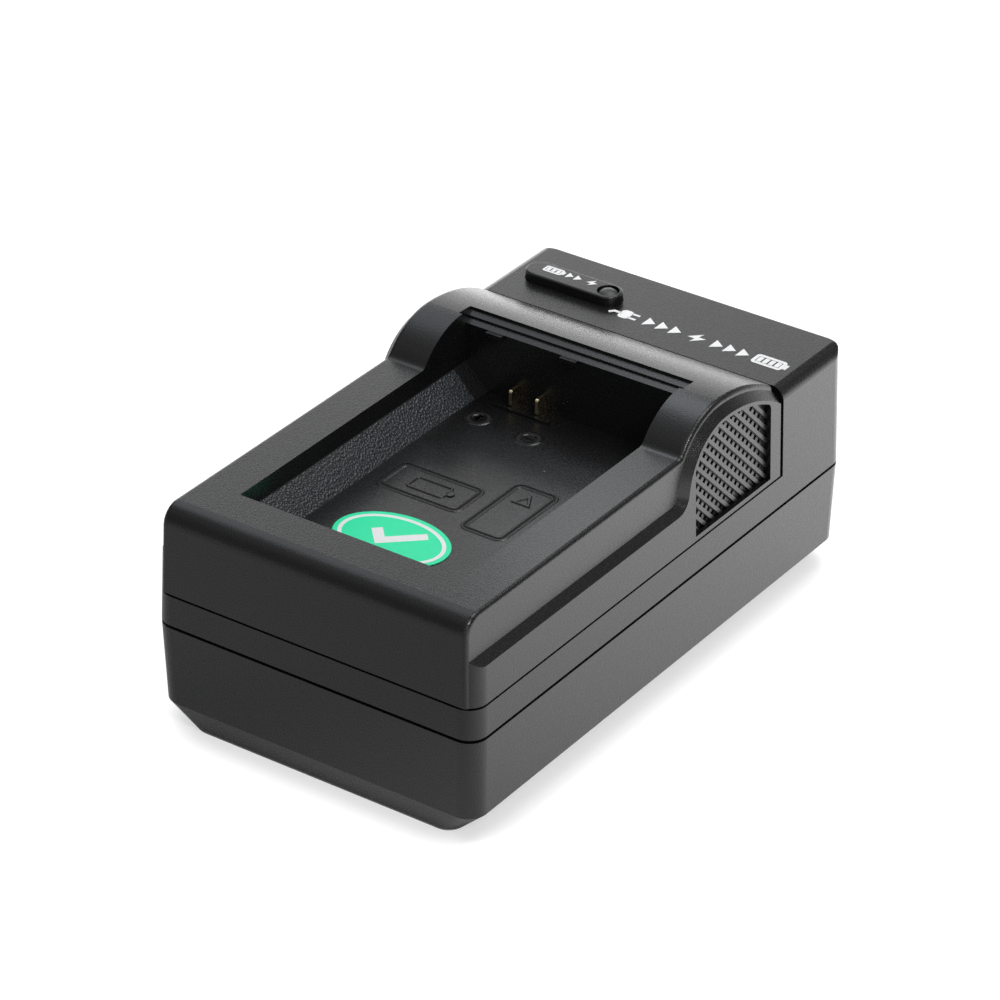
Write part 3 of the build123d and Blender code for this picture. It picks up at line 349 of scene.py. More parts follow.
def within_group():
    """Mask of a slab: one where a step lies strictly between two bounds, with sharp ends."""
    group = bpy.data.node_groups.new("Between two steps", "ShaderNodeTree")
    socket(group, "Step", "NodeSocketFloat", "INPUT")
    socket(group, "Low", "NodeSocketFloat", "INPUT", 0.0)
    socket(group, "High", "NodeSocketFloat", "INPUT", 1.0)
    socket(group, "Mask", "NodeSocketFloat", "OUTPUT")
    inside = node(group, "NodeGroupInput", (-600, 0))
    outside = node(group, "NodeGroupOutput", (300, 0))
    above = node(group, "ShaderNodeMath", (-300, 100), operation="GREATER_THAN")
    below = node(group, "ShaderNodeMath", (-300, -100), operation="LESS_THAN")
    both = node(group, "ShaderNodeMath", (0, 0), operation="MULTIPLY")
    link = group.links.new
    link(inside.outputs["Step"], above.inputs[0])
    link(inside.outputs["Low"], above.inputs[1])
    link(inside.outputs["Step"], below.inputs[0])
    link(inside.outputs["High"], below.inputs[1])
    link(above.outputs["Value"], both.inputs[0])
    link(below.outputs["Value"], both.inputs[1])
    link(both.outputs["Value"], outside.inputs["Mask"])
    return group


GRAIN = grain_group()
DUST = dust_group()
DRAWN = drawn_group()
WITHIN = within_group()


def blank_material(name):
    """New node material with its tree, its shader and its object coordinates."""
    material = bpy.data.materials.new(name)
    material.use_nodes = True
    tree = material.node_tree
    shader = tree.nodes["Principled BSDF"]
    place = node(tree, "ShaderNodeTexCoord", (-1500, 0))
    return material, tree, shader, place.outputs["Object"]


def placed_group(tree, group, place, **values):
    """Puts a shared effect into a material and sets its inputs by name."""
    made = node(tree, "ShaderNodeGroup", place, node_tree=group)
    for name, value in values.items():
        made.inputs[name.replace("_", " ")].default_value = value
    return made


def mixed_colour(tree, place, dark, light, factor):
    """Colour between two named colours by a mask."""
    made = node(tree, "ShaderNodeMix", place, data_type="RGBA")
    made.inputs["A"].default_value = (*dark, 1)
    made.inputs["B"].default_value = (*light, 1)
    tree.links.new(factor, made.inputs["Factor"])
    return made.outputs["Result"]


def ranged(tree, place, source, low, high):
    """Value between a low and a high end by a mask."""
    made = node(tree, "ShaderNodeMapRange", place)
    made.inputs["To Min"].default_value = low
    made.inputs["To Max"].default_value = high
    tree.links.new(source, made.inputs["Value"])
    return made.outputs["Result"]


def bumped(tree, place, height, strength, depth):
    """Bump node of a depth in millimetres."""
    made = node(tree, "ShaderNodeBump", place)
    made.inputs["Strength"].default_value = strength
    made.inputs["Distance"].default_value = depth * MM
    tree.links.new(height, made.inputs["Height"])
    return made.outputs["Normal"]


def slope_mask(tree, place):
    """Mask of the bay's sloping side walls, whose mould skin is coarser than the rest and whose colour
    carries a painted bluish sheen.
    """
    link = tree.links.new
    split = node(tree, "ShaderNodeSeparateXYZ", (-1300, -500))
    across = node(tree, "ShaderNodeMath", (-1100, -450), operation="ABSOLUTE")
    width = placed_group(tree, WITHIN, (-900, -450), Low=SLOPE_INNER * MM, High=SLOPE_OUTER * MM)
    level = placed_group(tree, WITHIN, (-900, -650), Low=SLOPE_LOW * MM, High=SLOPE_HIGH * MM)
    length = placed_group(tree, WITHIN, (-900, -850), Low=SLOPE_FRONT * MM, High=SLOPE_REAR * MM)
    both = node(tree, "ShaderNodeMath", (-650, -550), operation="MULTIPLY")
    within = node(tree, "ShaderNodeMath", (-450, -650), operation="MULTIPLY")
    link(place, split.inputs["Vector"])
    link(split.outputs["X"], across.inputs[0])
    link(across.outputs["Value"], width.inputs["Step"])
    link(split.outputs["Y"], length.inputs["Step"])
    link(split.outputs["Z"], level.inputs["Step"])
    link(width.outputs["Mask"], both.inputs[0])
    link(level.outputs["Mask"], both.inputs[1])
    link(both.outputs["Value"], within.inputs[0])
    link(length.outputs["Mask"], within.inputs[1])
    return within.outputs["Value"]


def grained_plastic(name, dark, light, rough, pits=4000.0, relief=0.036, strength=0.9, case=False):
    """Moulded plastic: two tones, grain in roughness and relief; the case adds dust, and coarse slopes with
    a painted bluish sheen in their colour.
    """
    material, tree, shader, place = blank_material(name)
    link = tree.links.new
    grain = placed_group(tree, GRAIN, (-1100, 100), Pits_per_metre=pits, Pit_share=0.45)
    flow = node(tree, "ShaderNodeTexNoise", (-1100, 400))
    flow.inputs["Scale"].default_value = 90.0
    flow.inputs["Detail"].default_value = 5.0
    link(place, grain.inputs["Vector"])
    link(place, flow.inputs["Vector"])
    tone = node(tree, "ShaderNodeMath", (-800, 300), operation="MULTIPLY")
    link(flow.outputs["Fac"], tone.inputs[0])
    link(grain.outputs["Tone"], tone.inputs[1])
    colour = mixed_colour(tree, (-500, 300), dark, light, tone.outputs["Value"])
    normal = bumped(tree, (-300, -200), grain.outputs["Height"], strength, relief)
    if case:
        slopes = slope_mask(tree, place)
        coarse = placed_group(tree, GRAIN, (-1100, -200), Pits_per_metre=SLOPE_PITS, Pit_share=0.7)
        link(place, coarse.inputs["Vector"])
        # Painted sheen: the slopes' colour goes towards a lighter bluish grey in specks of the coarse grain
        sheen_speckles = node(tree, "ShaderNodeMath", (-550, 500), operation="MULTIPLY")
        link(slopes, sheen_speckles.inputs[0])
        link(coarse.outputs["Tone"], sheen_speckles.inputs[1])
        painted_slope_sheen = node(tree, "ShaderNodeMix", (-350, 400), data_type="RGBA")
        painted_slope_sheen.inputs["B"].default_value = (*SLOPE_SHEEN_GREY, 1)
        link(sheen_speckles.outputs["Value"], painted_slope_sheen.inputs["Factor"])
        link(colour, painted_slope_sheen.inputs["A"])
        dust = placed_group(tree, DUST, (-800, 600))
        link(place, dust.inputs["Vector"])
        dusty = node(tree, "ShaderNodeMix", (-200, 400), data_type="RGBA")
        dusty.inputs["B"].default_value = (*DUST_GREY, 1)
        link(dust.outputs["Mask"], dusty.inputs["Factor"])
        link(painted_slope_sheen.outputs["Result"], dusty.inputs["A"])
        colour = dusty.outputs["Result"]
        deeper = node(tree, "ShaderNodeMath", (-450, -500), operation="MULTIPLY")
        link(coarse.outputs["Height"], deeper.inputs[0])
        link(slopes, deeper.inputs[1])
        skin = node(tree, "ShaderNodeBump", (-100, -300))
        skin.inputs["Strength"].default_value = SLOPE_STRENGTH
        skin.inputs["Distance"].default_value = SLOPE_RELIEF * MM
        link(deeper.outputs["Value"], skin.inputs["Height"])
        link(normal, skin.inputs["Normal"])
        normal = skin.outputs["Normal"]
    link(colour, shader.inputs["Base Color"])
    link(ranged(tree, (-500, 0), grain.outputs["Tone"], *rough), shader.inputs["Roughness"])
    link(normal, shader.inputs["Normal"])
    return material


def plain_moulding(name, dark, light, rough, scale=400.0):
    """Small inner piece: two tones and two roughnesses by a soft noise, and a slight relief."""
    material, tree, shader, place = blank_material(name)
    link = tree.links.new
    noise = node(tree, "ShaderNodeTexNoise", (-1100, 100))
    noise.inputs["Scale"].default_value = scale
    noise.inputs["Detail"].default_value = 4.0
    link(place, noise.inputs["Vector"])
    colour = mixed_colour(tree, (-500, 300), dark, light, noise.outputs["Fac"])
    link(colour, shader.inputs["Base Color"])
    link(ranged(tree, (-500, 0), noise.outputs["Fac"], *rough), shader.inputs["Roughness"])
    link(bumped(tree, (-300, -200), noise.outputs["Fac"], 0.3, 0.03), shader.inputs["Normal"])
    return material


def drawn_metal(name, dark, light, rough, stretch=(1.0, 0.03, 1.0)):
    """Plated sheet metal: drawn lines in relief, stains in tone and roughness."""
    material, tree, shader, place = blank_material(name)
    link = tree.links.new
    drawn = placed_group(tree, DRAWN, (-1100, 100), Stretch=stretch)
    link(place, drawn.inputs["Vector"])
    colour = mixed_colour(tree, (-500, 300), dark, light, drawn.outputs["Tone"])
    link(colour, shader.inputs["Base Color"])
    link(ranged(tree, (-500, 0), drawn.outputs["Tone"], *rough), shader.inputs["Roughness"])
    link(bumped(tree, (-300, -200), drawn.outputs["Height"], 0.3, 0.01), shader.inputs["Normal"])
    shader.inputs["Metallic"].default_value = 1.0
    return material


# Finishes
DUST_GREY = (0.4, 0.4, 0.41)
SLOPE_INNER = 15.35
SLOPE_OUTER = 19.15
SLOPE_LOW = 29.4
SLOPE_HIGH = 33.3
SLOPE_FRONT = -38.6
SLOPE_REAR = 13.0
SLOPE_PITS = 2700.0
SLOPE_STRENGTH = 1.0
SLOPE_RELIEF = 0.14
# Painted sheen: lighter bluish grey mixed into the coarse slopes' colour in specks
SLOPE_SHEEN_GREY = (0.036, 0.042, 0.048)

CASE_BLACK = (0.004, 0.004, 0.0042)
CASE_GREY = (0.011, 0.011, 0.0115)
CASE = grained_plastic("Black case plastic", CASE_BLACK, CASE_GREY, (0.22, 0.34), case=True)
GRILLE = grained_plastic("Black grille plastic", (0.012, 0.012, 0.0125), (0.024, 0.024, 0.025), (0.24, 0.34))
WINDOW = grained_plastic("Window plastic", (0.005, 0.005, 0.0052), (0.012, 0.012, 0.0125), (0.22, 0.34))
BARREL = grained_plastic("Plug barrel plastic", (0.008, 0.008, 0.0085), (0.016, 0.016, 0.0165), (0.3, 0.42))
# Painted shade: near-black rough band laid between the lips where a groove's shade falls
GROOVE_SHADE_PAINT = plain_moulding("Painted groove shade", (0.002, 0.002, 0.002), (0.004, 0.004, 0.004), (0.75, 0.9))
LENS = plain_moulding("Lamp lens", (0.03, 0.031, 0.031), (0.05, 0.051, 0.051), (0.36, 0.48))
PRINT = plain_moulding("White print", (0.78, 0.78, 0.78), (0.86, 0.86, 0.86), (0.45, 0.6), scale=1500.0)
STICKER = plain_moulding("Green sticker", (0.004, 0.76, 0.36), (0.01, 0.84, 0.42), (0.4, 0.55), scale=900.0)
GOLD = drawn_metal("Gold contact", (0.9, 0.74, 0.42), (0.97, 0.84, 0.55), (0.16, 0.28))
NICKEL = drawn_metal("Nickel blade", (0.64, 0.62, 0.58), (0.75, 0.73, 0.69), (0.18, 0.34))
SPRING = drawn_metal("Spring bronze", (0.62, 0.42, 0.2), (0.74, 0.52, 0.27), (0.25, 0.4), (1.0, 1.0, 0.05))
ZINC = drawn_metal("Zinc screw", (0.36, 0.36, 0.37), (0.5, 0.5, 0.51), (0.28, 0.42), (1.0, 1.0, 1.0))
BOARD = plain_moulding("Board laminate", (0.012, 0.11, 0.035), (0.03, 0.19, 0.07), (0.3, 0.45), scale=700.0)
JACK = plain_moulding("Jack plastic", (0.012, 0.012, 0.012), (0.022, 0.022, 0.022), (0.35, 0.5))
FERRITE = plain_moulding("Ferrite", (0.05, 0.05, 0.053), (0.09, 0.09, 0.095), (0.5, 0.7), scale=1200.0)
BOBBIN = plain_moulding("Bobbin plastic", (0.03, 0.03, 0.03), (0.05, 0.05, 0.05), (0.4, 0.55))
TAPE = plain_moulding("Winding tape", (0.72, 0.5, 0.03), (0.84, 0.62, 0.06), (0.25, 0.4))
SLEEVE = plain_moulding("Capacitor sleeve", (0.012, 0.018, 0.05), (0.022, 0.03, 0.08), (0.25, 0.4))
FUSE = plain_moulding("Fuse coating", (0.2, 0.34, 0.26), (0.28, 0.42, 0.33), (0.4, 0.55))
MOULDED = plain_moulding("Chip moulding", (0.014, 0.014, 0.014), (0.026, 0.026, 0.026), (0.45, 0.6))
LEAD_RED = plain_moulding("Red lead", (0.36, 0.012, 0.012), (0.46, 0.02, 0.02), (0.35, 0.5))
LEAD_BLACK = plain_moulding("Black lead", (0.012, 0.012, 0.012), (0.022, 0.022, 0.022), (0.35, 0.5))

FINISHES = {
    "case_plastic": CASE,
    "grille_plastic": GRILLE,
    "window_plastic": WINDOW,
    "led_lens": LENS,
    "contact_metal": GOLD,
    "lead_red": LEAD_RED,
    "lead_black": LEAD_BLACK,
    "sticker_paper": STICKER,
    "barrel_plastic": BARREL,
    "blade_metal": NICKEL,
    "spring_metal": SPRING,
    "screw_metal": ZINC,
    "board_laminate": BOARD,
    "jack_plastic": JACK,
    "ferrite": FERRITE,
    "bobbin_plastic": BOBBIN,
    "winding_tape": TAPE,
    "capacitor_sleeve": SLEEVE,
    "fuse_body": FUSE,
    "diode_body": MOULDED,
    "chip_body": MOULDED,
}

for part in frame["record"]["subparts"]:
    shown = frame["nodes"][part["node"]]
    shown.data.materials.clear()
    shown.data.materials.append(FINISHES[part["material_slot"]])

# Marks moulded into the bay floor: low lips round each path, with painted groove shade between them as a
# near-black flat band, and raised signs
OUTER_LIP = np.array([
    (LIP_INNER, -ROOT),
    (LIP_INNER, LIP_RISE),
    (LIP_CREST, LIP_RISE),
    (LIP_OUTER, 0.0),
    (LIP_OUTER, -ROOT),
])
INNER_LIP = OUTER_LIP[::-1] * (-1, 1)
# Flat band between the lips, just above the floor, that carries the painted groove shade
GROOVE_SHADE_BAND = np.array([
    (-LIP_INNER, -ROOT),
    (-LIP_INNER, GROOVE_SHADE_RISE),
    (LIP_INNER, GROOVE_SHADE_RISE),
    (LIP_INNER, -ROOT),
])
RIDGE = np.array([
    (-RIDGE_HALF, -ROOT),
    (-RIDGE_HALF, 0.0),
    (-RIDGE_CREST, RIDGE_RISE),
    (RIDGE_CREST, RIDGE_RISE),
    (RIDGE_HALF, 0.0),
    (RIDGE_HALF, -ROOT),
])
label_x, label_y = sticker_middle + LABEL_STEP
arrow_x, arrow_y = sticker_middle + ARROW_STEP
plus_place = contact_tips + PLUS_STEP
minus_place = contact_tips + MINUS_STEP


def arrow_path(x, tip):
    """Triangle that points to the contacts: its tip, then the two ends of its foot."""
    foot = tip - ARROW_RUN
    return np.array([(x, tip), (x - ARROW_HALF, foot), (x + ARROW_HALF, foot)])


def raised_bar(x, y, half_length, half_width):
    """Straight raised bar of a sign, as a small rounded frame filled in."""
    outline = rounded_frame(x, y, 2 * half_length, 2 * half_width, 0.8 * half_width)
    return filled(outline, BAY_FLOOR, RIDGE_RISE)


grooved_paths = [
    rounded_frame(label_x, label_y, *LABEL_SIZE, FRAME_CORNER),
    rounded_frame(arrow_x, arrow_y, *ARROW_SIZE, FRAME_CORNER),
    ellipse(*plus_place, SIGN_RADIUS, SIGN_RADIUS),
    ellipse(*minus_place, SIGN_RADIUS, SIGN_RADIUS),
]
# Painted groove shade along each path, between its lips
groove_shade_bands = [carried(path, GROOVE_SHADE_BAND, BAY_FLOOR) for path in grooved_paths]
mesh_piece("bay_floor_groove_shade", *joined(groove_shade_bands), GROOVE_SHADE_PAINT, "case_plastic")
marks = [carried(path, lip, BAY_FLOOR) for path in grooved_paths for lip in (OUTER_LIP, INNER_LIP)]
marks.append(carried(arrow_path(arrow_x, arrow_y + ARROW_RISE), RIDGE, BAY_FLOOR))
marks.append(carried(rounded_frame(label_x, label_y, *CELL_SIZE, FRAME_CORNER / 2), RIDGE, BAY_FLOOR))
marks.append(raised_bar(label_x + CELL_SIZE[0] / 2 + CELL_TIP[0], label_y, *CELL_TIP))
marks.append(raised_bar(*plus_place, *SIGN_BAR))
marks.append(raised_bar(*plus_place, *SIGN_BAR[::-1]))
marks.append(raised_bar(*minus_place, *SIGN_BAR))
mesh_piece("bay_floor_marks", *joined(marks), CASE, "case_plastic")

# White print: sticker ring and tick, charge strip on the block, battery sign on the window
INK_BAND = np.array([(-1, 0), (-1, 1), (1, 1), (1, 0)])
BOLT = ((0.3, 1.05), (-1.05, -0.22), (-0.12, -0.22), (-0.3, -1.05), (1.05, 0.22), (0.12, 0.22))
ARROW_HEAD = ((-0.62, 0.46), (-0.62, -0.46), (0.0, 0.0))


def ink_line(path, half_width, level):
    """Flat printed line along a closed path."""
    return carried(path, INK_BAND * np.array([half_width, INK]), level)


def ink_stroke(points, half_width, level):
    """Flat printed stroke along an open path: out on one side and back on the other.

    Each side is the path moved by the half width along its normals, so the outline is a band.
    """
    points = np.array(points, float)
    run = np.diff(points, axis=0)
    run /= np.linalg.norm(run, axis=1, keepdims=True)
    normals = np.stack([-run[:, 1], run[:, 0]], axis=1)
    before = np.concatenate([normals[:1], normals])
    after = np.concatenate([normals, normals[-1:]])
    side = before + after
    side /= np.linalg.norm(side, axis=1, keepdims=True)
    side *= half_width / np.sum(side * after, axis=1, keepdims=True)
    count = len(points)
    flat = np.concatenate([points + side, points - side])
    low = np.full((2 * count, 1), level)
    corners = np.concatenate([np.hstack([flat, low + INK]), np.hstack([flat, low])])
    i = np.arange(count - 1)
    top = np.stack([i, i + count, i + count + 1, i + 1], axis=1)
    under = top[:, ::-1] + 2 * count
    loop = np.concatenate([np.arange(count), np.arange(count)[::-1] + count])
    following = np.roll(loop, -1)
    rim = np.stack([loop, following, following + 2 * count, loop + 2 * count], axis=1)
    return corners, np.concatenate([top, under, rim])


def ink_patch(outline, level):
    """Flat printed patch inside an outline that its middle can see all round."""
    return filled(outline, level, INK)


def battery_sign(x, y, height, level, cells):
    """Battery outline with a terminal and filled cells, all in shares of its height."""
    half_line = 0.1 * height
    width = 1.9 * height
    outline = rounded_frame(x, y, width - 2 * half_line, height - 2 * half_line, 0.12 * height)
    terminal = rounded_frame(x + width / 2 + 0.1 * height, y, 0.22 * height, 0.5 * height, 0.02 * height)
    signs = [ink_line(outline, half_line, level), ink_patch(terminal, level)]
    pitch = (width - 4 * half_line) / cells
    first = x - pitch * (cells - 1) / 2
    for cell in range(cells):
        bar = rounded_frame(first + cell * pitch, y, 0.72 * pitch, 0.52 * height, 0.02 * height)
        signs.append(ink_patch(bar, level))
    return signs


def plug_sign(x, y, height, level):
    """Mains plug lying to the right: body, two pins and a lead, all in shares of its height."""
    signs = [ink_patch(rounded_frame(x, y, 0.7 * height, 0.9 * height, 0.24 * height), level)]
    for side in (-0.24, 0.24):
        pin = rounded_frame(x + 0.55 * height, y + side * height, 0.5 * height, 0.17 * height, 0.02 * height)
        signs.append(ink_patch(pin, level))
    lead = [(x - 0.3 * height, y), (x - 0.72 * height, y), (x - 0.95 * height, y - 0.25 * height)]
    signs.append(ink_stroke(lead, 0.1 * height, level))
    return signs


def arrow_heads(x, y, height, level, count):
    """Row of filled arrow heads that point to the right, each a share of the height from the next."""
    tips = x + HEAD_PITCH * height * np.arange(count)
    return [ink_patch(placed(ARROW_HEAD, tip, y, height), level) for tip in tips]


def along_strip(share):
    """Place on the charge strip at a share of its length."""
    return STRIP_LEFT + share * (STRIP_RIGHT - STRIP_LEFT)


strip_y = lamp_low[1] + STRIP_STEP
strip = plug_sign(along_strip(PLUG_SHARE), strip_y, STRIP_HEIGHT, BLOCK_TOP)
strip += arrow_heads(along_strip(FIRST_HEADS_SHARE), strip_y, STRIP_HEIGHT, BLOCK_TOP, HEAD_COUNT)
strip.append(ink_patch(placed(BOLT, along_strip(BOLT_SHARE), strip_y, STRIP_HEIGHT / 2), BLOCK_TOP))
strip += arrow_heads(along_strip(SECOND_HEADS_SHARE), strip_y, STRIP_HEIGHT, BLOCK_TOP, HEAD_COUNT)
strip += battery_sign(along_strip(BATTERY_SHARE), strip_y, STRIP_HEIGHT, BLOCK_TOP, STRIP_CELLS)
mesh_piece("charge_strip_print", *joined(strip), PRINT, "sticker_paper")

sign_y = window_middle[1] + WINDOW_SIGN_STEP
sign_left = window_low[0]
window_signs = battery_sign(sign_left + WINDOW_BATTERY, sign_y, WINDOW_SIGN_HEIGHT, WINDOW_TOP, WINDOW_CELLS)
heads_left = sign_left + WINDOW_HEADS
window_signs += arrow_heads(heads_left, sign_y, WINDOW_SIGN_HEIGHT, WINDOW_TOP, WINDOW_HEAD_COUNT)
window_bolt = placed(BOLT, sign_left + WINDOW_BOLT, sign_y, WINDOW_SIGN_HEIGHT / 2)
window_signs.append(ink_patch(window_bolt, WINDOW_TOP))
mesh_piece("window_print", *joined(window_signs), PRINT, "sticker_paper")

ring_path = ellipse(*sticker_middle, *(sticker_half - STICKER_MARGIN), 72)
tick_path = sticker_middle + np.array(TICK)
ring = ink_line(ring_path, STICKER_RING / 2, STICKER_TOP)
tick = ink_stroke(tick_path, TICK_HALF, STICKER_TOP)
mesh_piece("sticker_print", *joined([ring, tick]), PRINT, "sticker_paper")

# Floor, light and camera
FLOOR_GREY = (0.4, 0.4, 0.4)
FLOOR_PALE = (0.42, 0.42, 0.42)
FLOOR_EYE_LIFT = 0.57
# Painted shadow on the floor: an extra lift for the eye where ambient occlusion finds the base far, so the
# floor stays darker next to it
FLOOR_PAINTED_SHADOW_LIFT = 0.33
FLOOR_PAINTED_SHADOW_REACH = 9.0
FLOOR_PAINTED_SHADOW_RANGE = (0.52, 0.72)
# Painted pool of light on the floor for reflections: brighter along a way towards the rear right, and darker
# next to the base as painted shadow
FLOOR_PAINTED_LIGHT_LIFT = (0.2, 2.1)
FLOOR_PAINTED_LIGHT_REACH = (-60.0, 111.0)
FLOOR_MIRROR_PAINTED_SHADOW_RANGE = (0.25, 0.6)
FLOOR_PAINTED_LIGHT_WAY = (0.6, 0.8, 0.0)
FLOOR_RADII = (0.01, 0.2, 1.0, 6.0)
FLOOR_LEVEL = -0.02
FLOOR_CLEAR_GAP = 0.4
FLOOR_STEPS = 96
DOME = (0.22, 0.22, 0.22)
# Azimuth from +X, elevation, inner and outer angle in degrees, colour
SOFT_LIGHTS = (
    (72.0, -12.0, 10.0, 38.0, (0.95, 0.95, 0.96)),
    (146.0, 49.0, 8.0, 22.0, (1.05, 1.12, 1.22)),
    (174.0, 62.0, 5.0, 16.0, (0.55, 0.6, 0.65)),
    (-28.0, 46.0, 4.0, 10.0, (16.0, 16.0, 16.0)),
    (-110.0, 64.0, 10.0, 30.0, (0.38, 0.38, 0.38)),
    (-55.0, 20.0, 14.0, 40.0, (0.5, 0.5, 0.5)),
    (0.0, -90.0, 20.0, 80.0, (0.7, 0.7, 0.7)),
)
KEY_PLACE = (190.0, 230.0, 680.0)
KEY_AIM = (0.0, 0.0, 20.0)
KEY_SIZE = (400.0, 400.0)
KEY_POWER = 1.9
PANEL_PLACE = (-308.0, 394.0, 166.0)
PANEL_AIM = (0.0, 0.0, 166.0)
PANEL_SIZE = (470.0, 320.0)
PANEL_POWER = 0.74
CARD_PLACE = (-8.0, 38.0, 92.0)
CARD_AIM = (22.0, 11.0, 41.0)
CARD_SIZE = (30.0, 52.0)
CARD_POWER = 0.006
CARD_COLOUR = (0.92, 0.97, 1.0)


def floor_material():
    """Pale floor that keeps its lamp shadow and adds painted shadow next to the base: lifted to white for
    the eye, less where ambient occlusion finds the base near, and lifted by its place for reflections as a
    painted pool of light, with painted shadow near the base.

    It is clear from below, and clear to light that leaves the base right above it, so the underside shows.
    """
    material, tree, shader, place = blank_material("Pale floor")
    link = tree.links.new
    noise = node(tree, "ShaderNodeTexNoise", (-1100, 100))
    noise.inputs["Scale"].default_value = 30.0
    link(place, noise.inputs["Vector"])
    colour = mixed_colour(tree, (-500, 300), FLOOR_GREY, FLOOR_PALE, noise.outputs["Fac"])
    link(colour, shader.inputs["Base Color"])
    shader.inputs["Roughness"].default_value = 0.9
    shader.inputs["Specular IOR Level"].default_value = 0.0
    rays = node(tree, "ShaderNodeLightPath", (-1100, -200))
    seen = node(tree, "ShaderNodeMath", (-850, -200), operation="MAXIMUM")
    eye = node(tree, "ShaderNodeMath", (-600, -200), operation="MULTIPLY")
    # Painted shadow: ambient occlusion sets how much of the extra lift the eye gets
    open_sky = node(tree, "ShaderNodeAmbientOcclusion", (-1100, -50), samples=8)
    open_sky.inputs["Distance"].default_value = FLOOR_PAINTED_SHADOW_REACH * MM
    clear = node(tree, "ShaderNodeMapRange", (-850, -50), interpolation_type="SMOOTHSTEP")
    clear.inputs["From Min"].default_value = FLOOR_PAINTED_SHADOW_RANGE[0]
    clear.inputs["From Max"].default_value = FLOOR_PAINTED_SHADOW_RANGE[1]
    clear.inputs["To Min"].default_value = FLOOR_EYE_LIFT
    clear.inputs["To Max"].default_value = FLOOR_EYE_LIFT + FLOOR_PAINTED_SHADOW_LIFT
    # Painted pool of light for glossy rays along a way across the floor, cut near the base by ambient
    # occlusion as painted shadow
    way = node(tree, "ShaderNodeVectorMath", (-1100, -500), operation="DOT_PRODUCT")
    way.inputs[1].default_value = FLOOR_PAINTED_LIGHT_WAY
    painted_light_pool = node(tree, "ShaderNodeMapRange", (-850, -500))
    painted_light_pool.inputs["From Min"].default_value = FLOOR_PAINTED_LIGHT_REACH[0] * MM
    painted_light_pool.inputs["From Max"].default_value = FLOOR_PAINTED_LIGHT_REACH[1] * MM
    painted_light_pool.inputs["To Min"].default_value = FLOOR_PAINTED_LIGHT_LIFT[0]
    painted_light_pool.inputs["To Max"].default_value = FLOOR_PAINTED_LIGHT_LIFT[1]
    painted_mirror_shadow = node(tree, "ShaderNodeMapRange", (-850, -750), interpolation_type="SMOOTHSTEP")
    painted_mirror_shadow.inputs["From Min"].default_value = FLOOR_MIRROR_PAINTED_SHADOW_RANGE[0]
    painted_mirror_shadow.inputs["From Max"].default_value = FLOOR_MIRROR_PAINTED_SHADOW_RANGE[1]
    shaded = node(tree, "ShaderNodeMath", (-600, -700), operation="MULTIPLY")
    painted_reflected_lift = node(tree, "ShaderNodeMath", (-600, -500), operation="MULTIPLY")
    lift = node(tree, "ShaderNodeMath", (-300, -300), operation="ADD")
    link(rays.outputs["Is Camera Ray"], seen.inputs[0])
    link(rays.outputs["Is Transmission Ray"], seen.inputs[1])
    link(seen.outputs["Value"], eye.inputs[0])
    link(open_sky.outputs["AO"], clear.inputs["Value"])
    link(clear.outputs["Result"], eye.inputs[1])
    link(place, way.inputs[0])
    link(way.outputs["Value"], painted_light_pool.inputs["Value"])
    link(open_sky.outputs["AO"], painted_mirror_shadow.inputs["Value"])
    link(painted_light_pool.outputs["Result"], shaded.inputs[0])
    link(painted_mirror_shadow.outputs["Result"], shaded.inputs[1])
    link(shaded.outputs["Value"], painted_reflected_lift.inputs[0])
    link(rays.outputs["Is Glossy Ray"], painted_reflected_lift.inputs[1])
    link(eye.outputs["Value"], lift.inputs[0])
    link(painted_reflected_lift.outputs["Value"], lift.inputs[1])
    shader.inputs["Emission Color"].default_value = (1, 1, 1, 1)
    link(lift.outputs["Value"], shader.inputs["Emission Strength"])
    side = node(tree, "ShaderNodeNewGeometry", (-300, 700))
    near = node(tree, "ShaderNodeMath", (-300, 550), operation="LESS_THAN")
    near.inputs[1].default_value = FLOOR_CLEAR_GAP * MM
    see_through = node(tree, "ShaderNodeMath", (0, 600), operation="MAXIMUM")
    clear_side = node(tree, "ShaderNodeBsdfTransparent", (0, 450))
    both = node(tree, "ShaderNodeMixShader", (400, 300))
    link(rays.outputs["Ray Length"], near.inputs[0])
    link(side.outputs["Backfacing"], see_through.inputs[0])
    link(near.outputs["Value"], see_through.inputs[1])
    link(see_through.outputs["Value"], both.inputs["Fac"])
    link(shader.outputs["BSDF"], both.inputs[1])
    link(clear_side.outputs["BSDF"], both.inputs[2])
    link(both.outputs["Shader"], tree.nodes["Material Output"].inputs["Surface"])
    return material


def floor_piece():
    """Round floor: rings of growing radius (in metres) round the object, closed by a hub, just below it."""
    turn = np.arange(FLOOR_STEPS) * 2 * np.pi / FLOOR_STEPS
    radius = np.array(FLOOR_RADII)
    flat = radius[:, None, None] * np.stack([np.cos(turn), np.sin(turn)], axis=-1)[None]
    level = np.full(flat.shape[:2] + (1,), FLOOR_LEVEL * MM)
    points = np.concatenate([flat, level], axis=-1).reshape(-1, 3)
    faces = grid_faces(len(radius), len(turn), False)
    inner = np.arange(FLOOR_STEPS)
    hub = np.stack([np.full(FLOOR_STEPS, len(points)), inner, np.roll(inner, -1)], axis=1)
    mesh = bpy.data.meshes.new("floor")
    mesh.from_pydata(points.tolist() + [(0, 0, FLOOR_LEVEL * MM)], [], faces.tolist() + hub.tolist())
    mesh.update()
    piece = bpy.data.objects.new("floor", mesh)
    bpy.context.scene.collection.objects.link(piece)
    mesh.materials.append(floor_material())


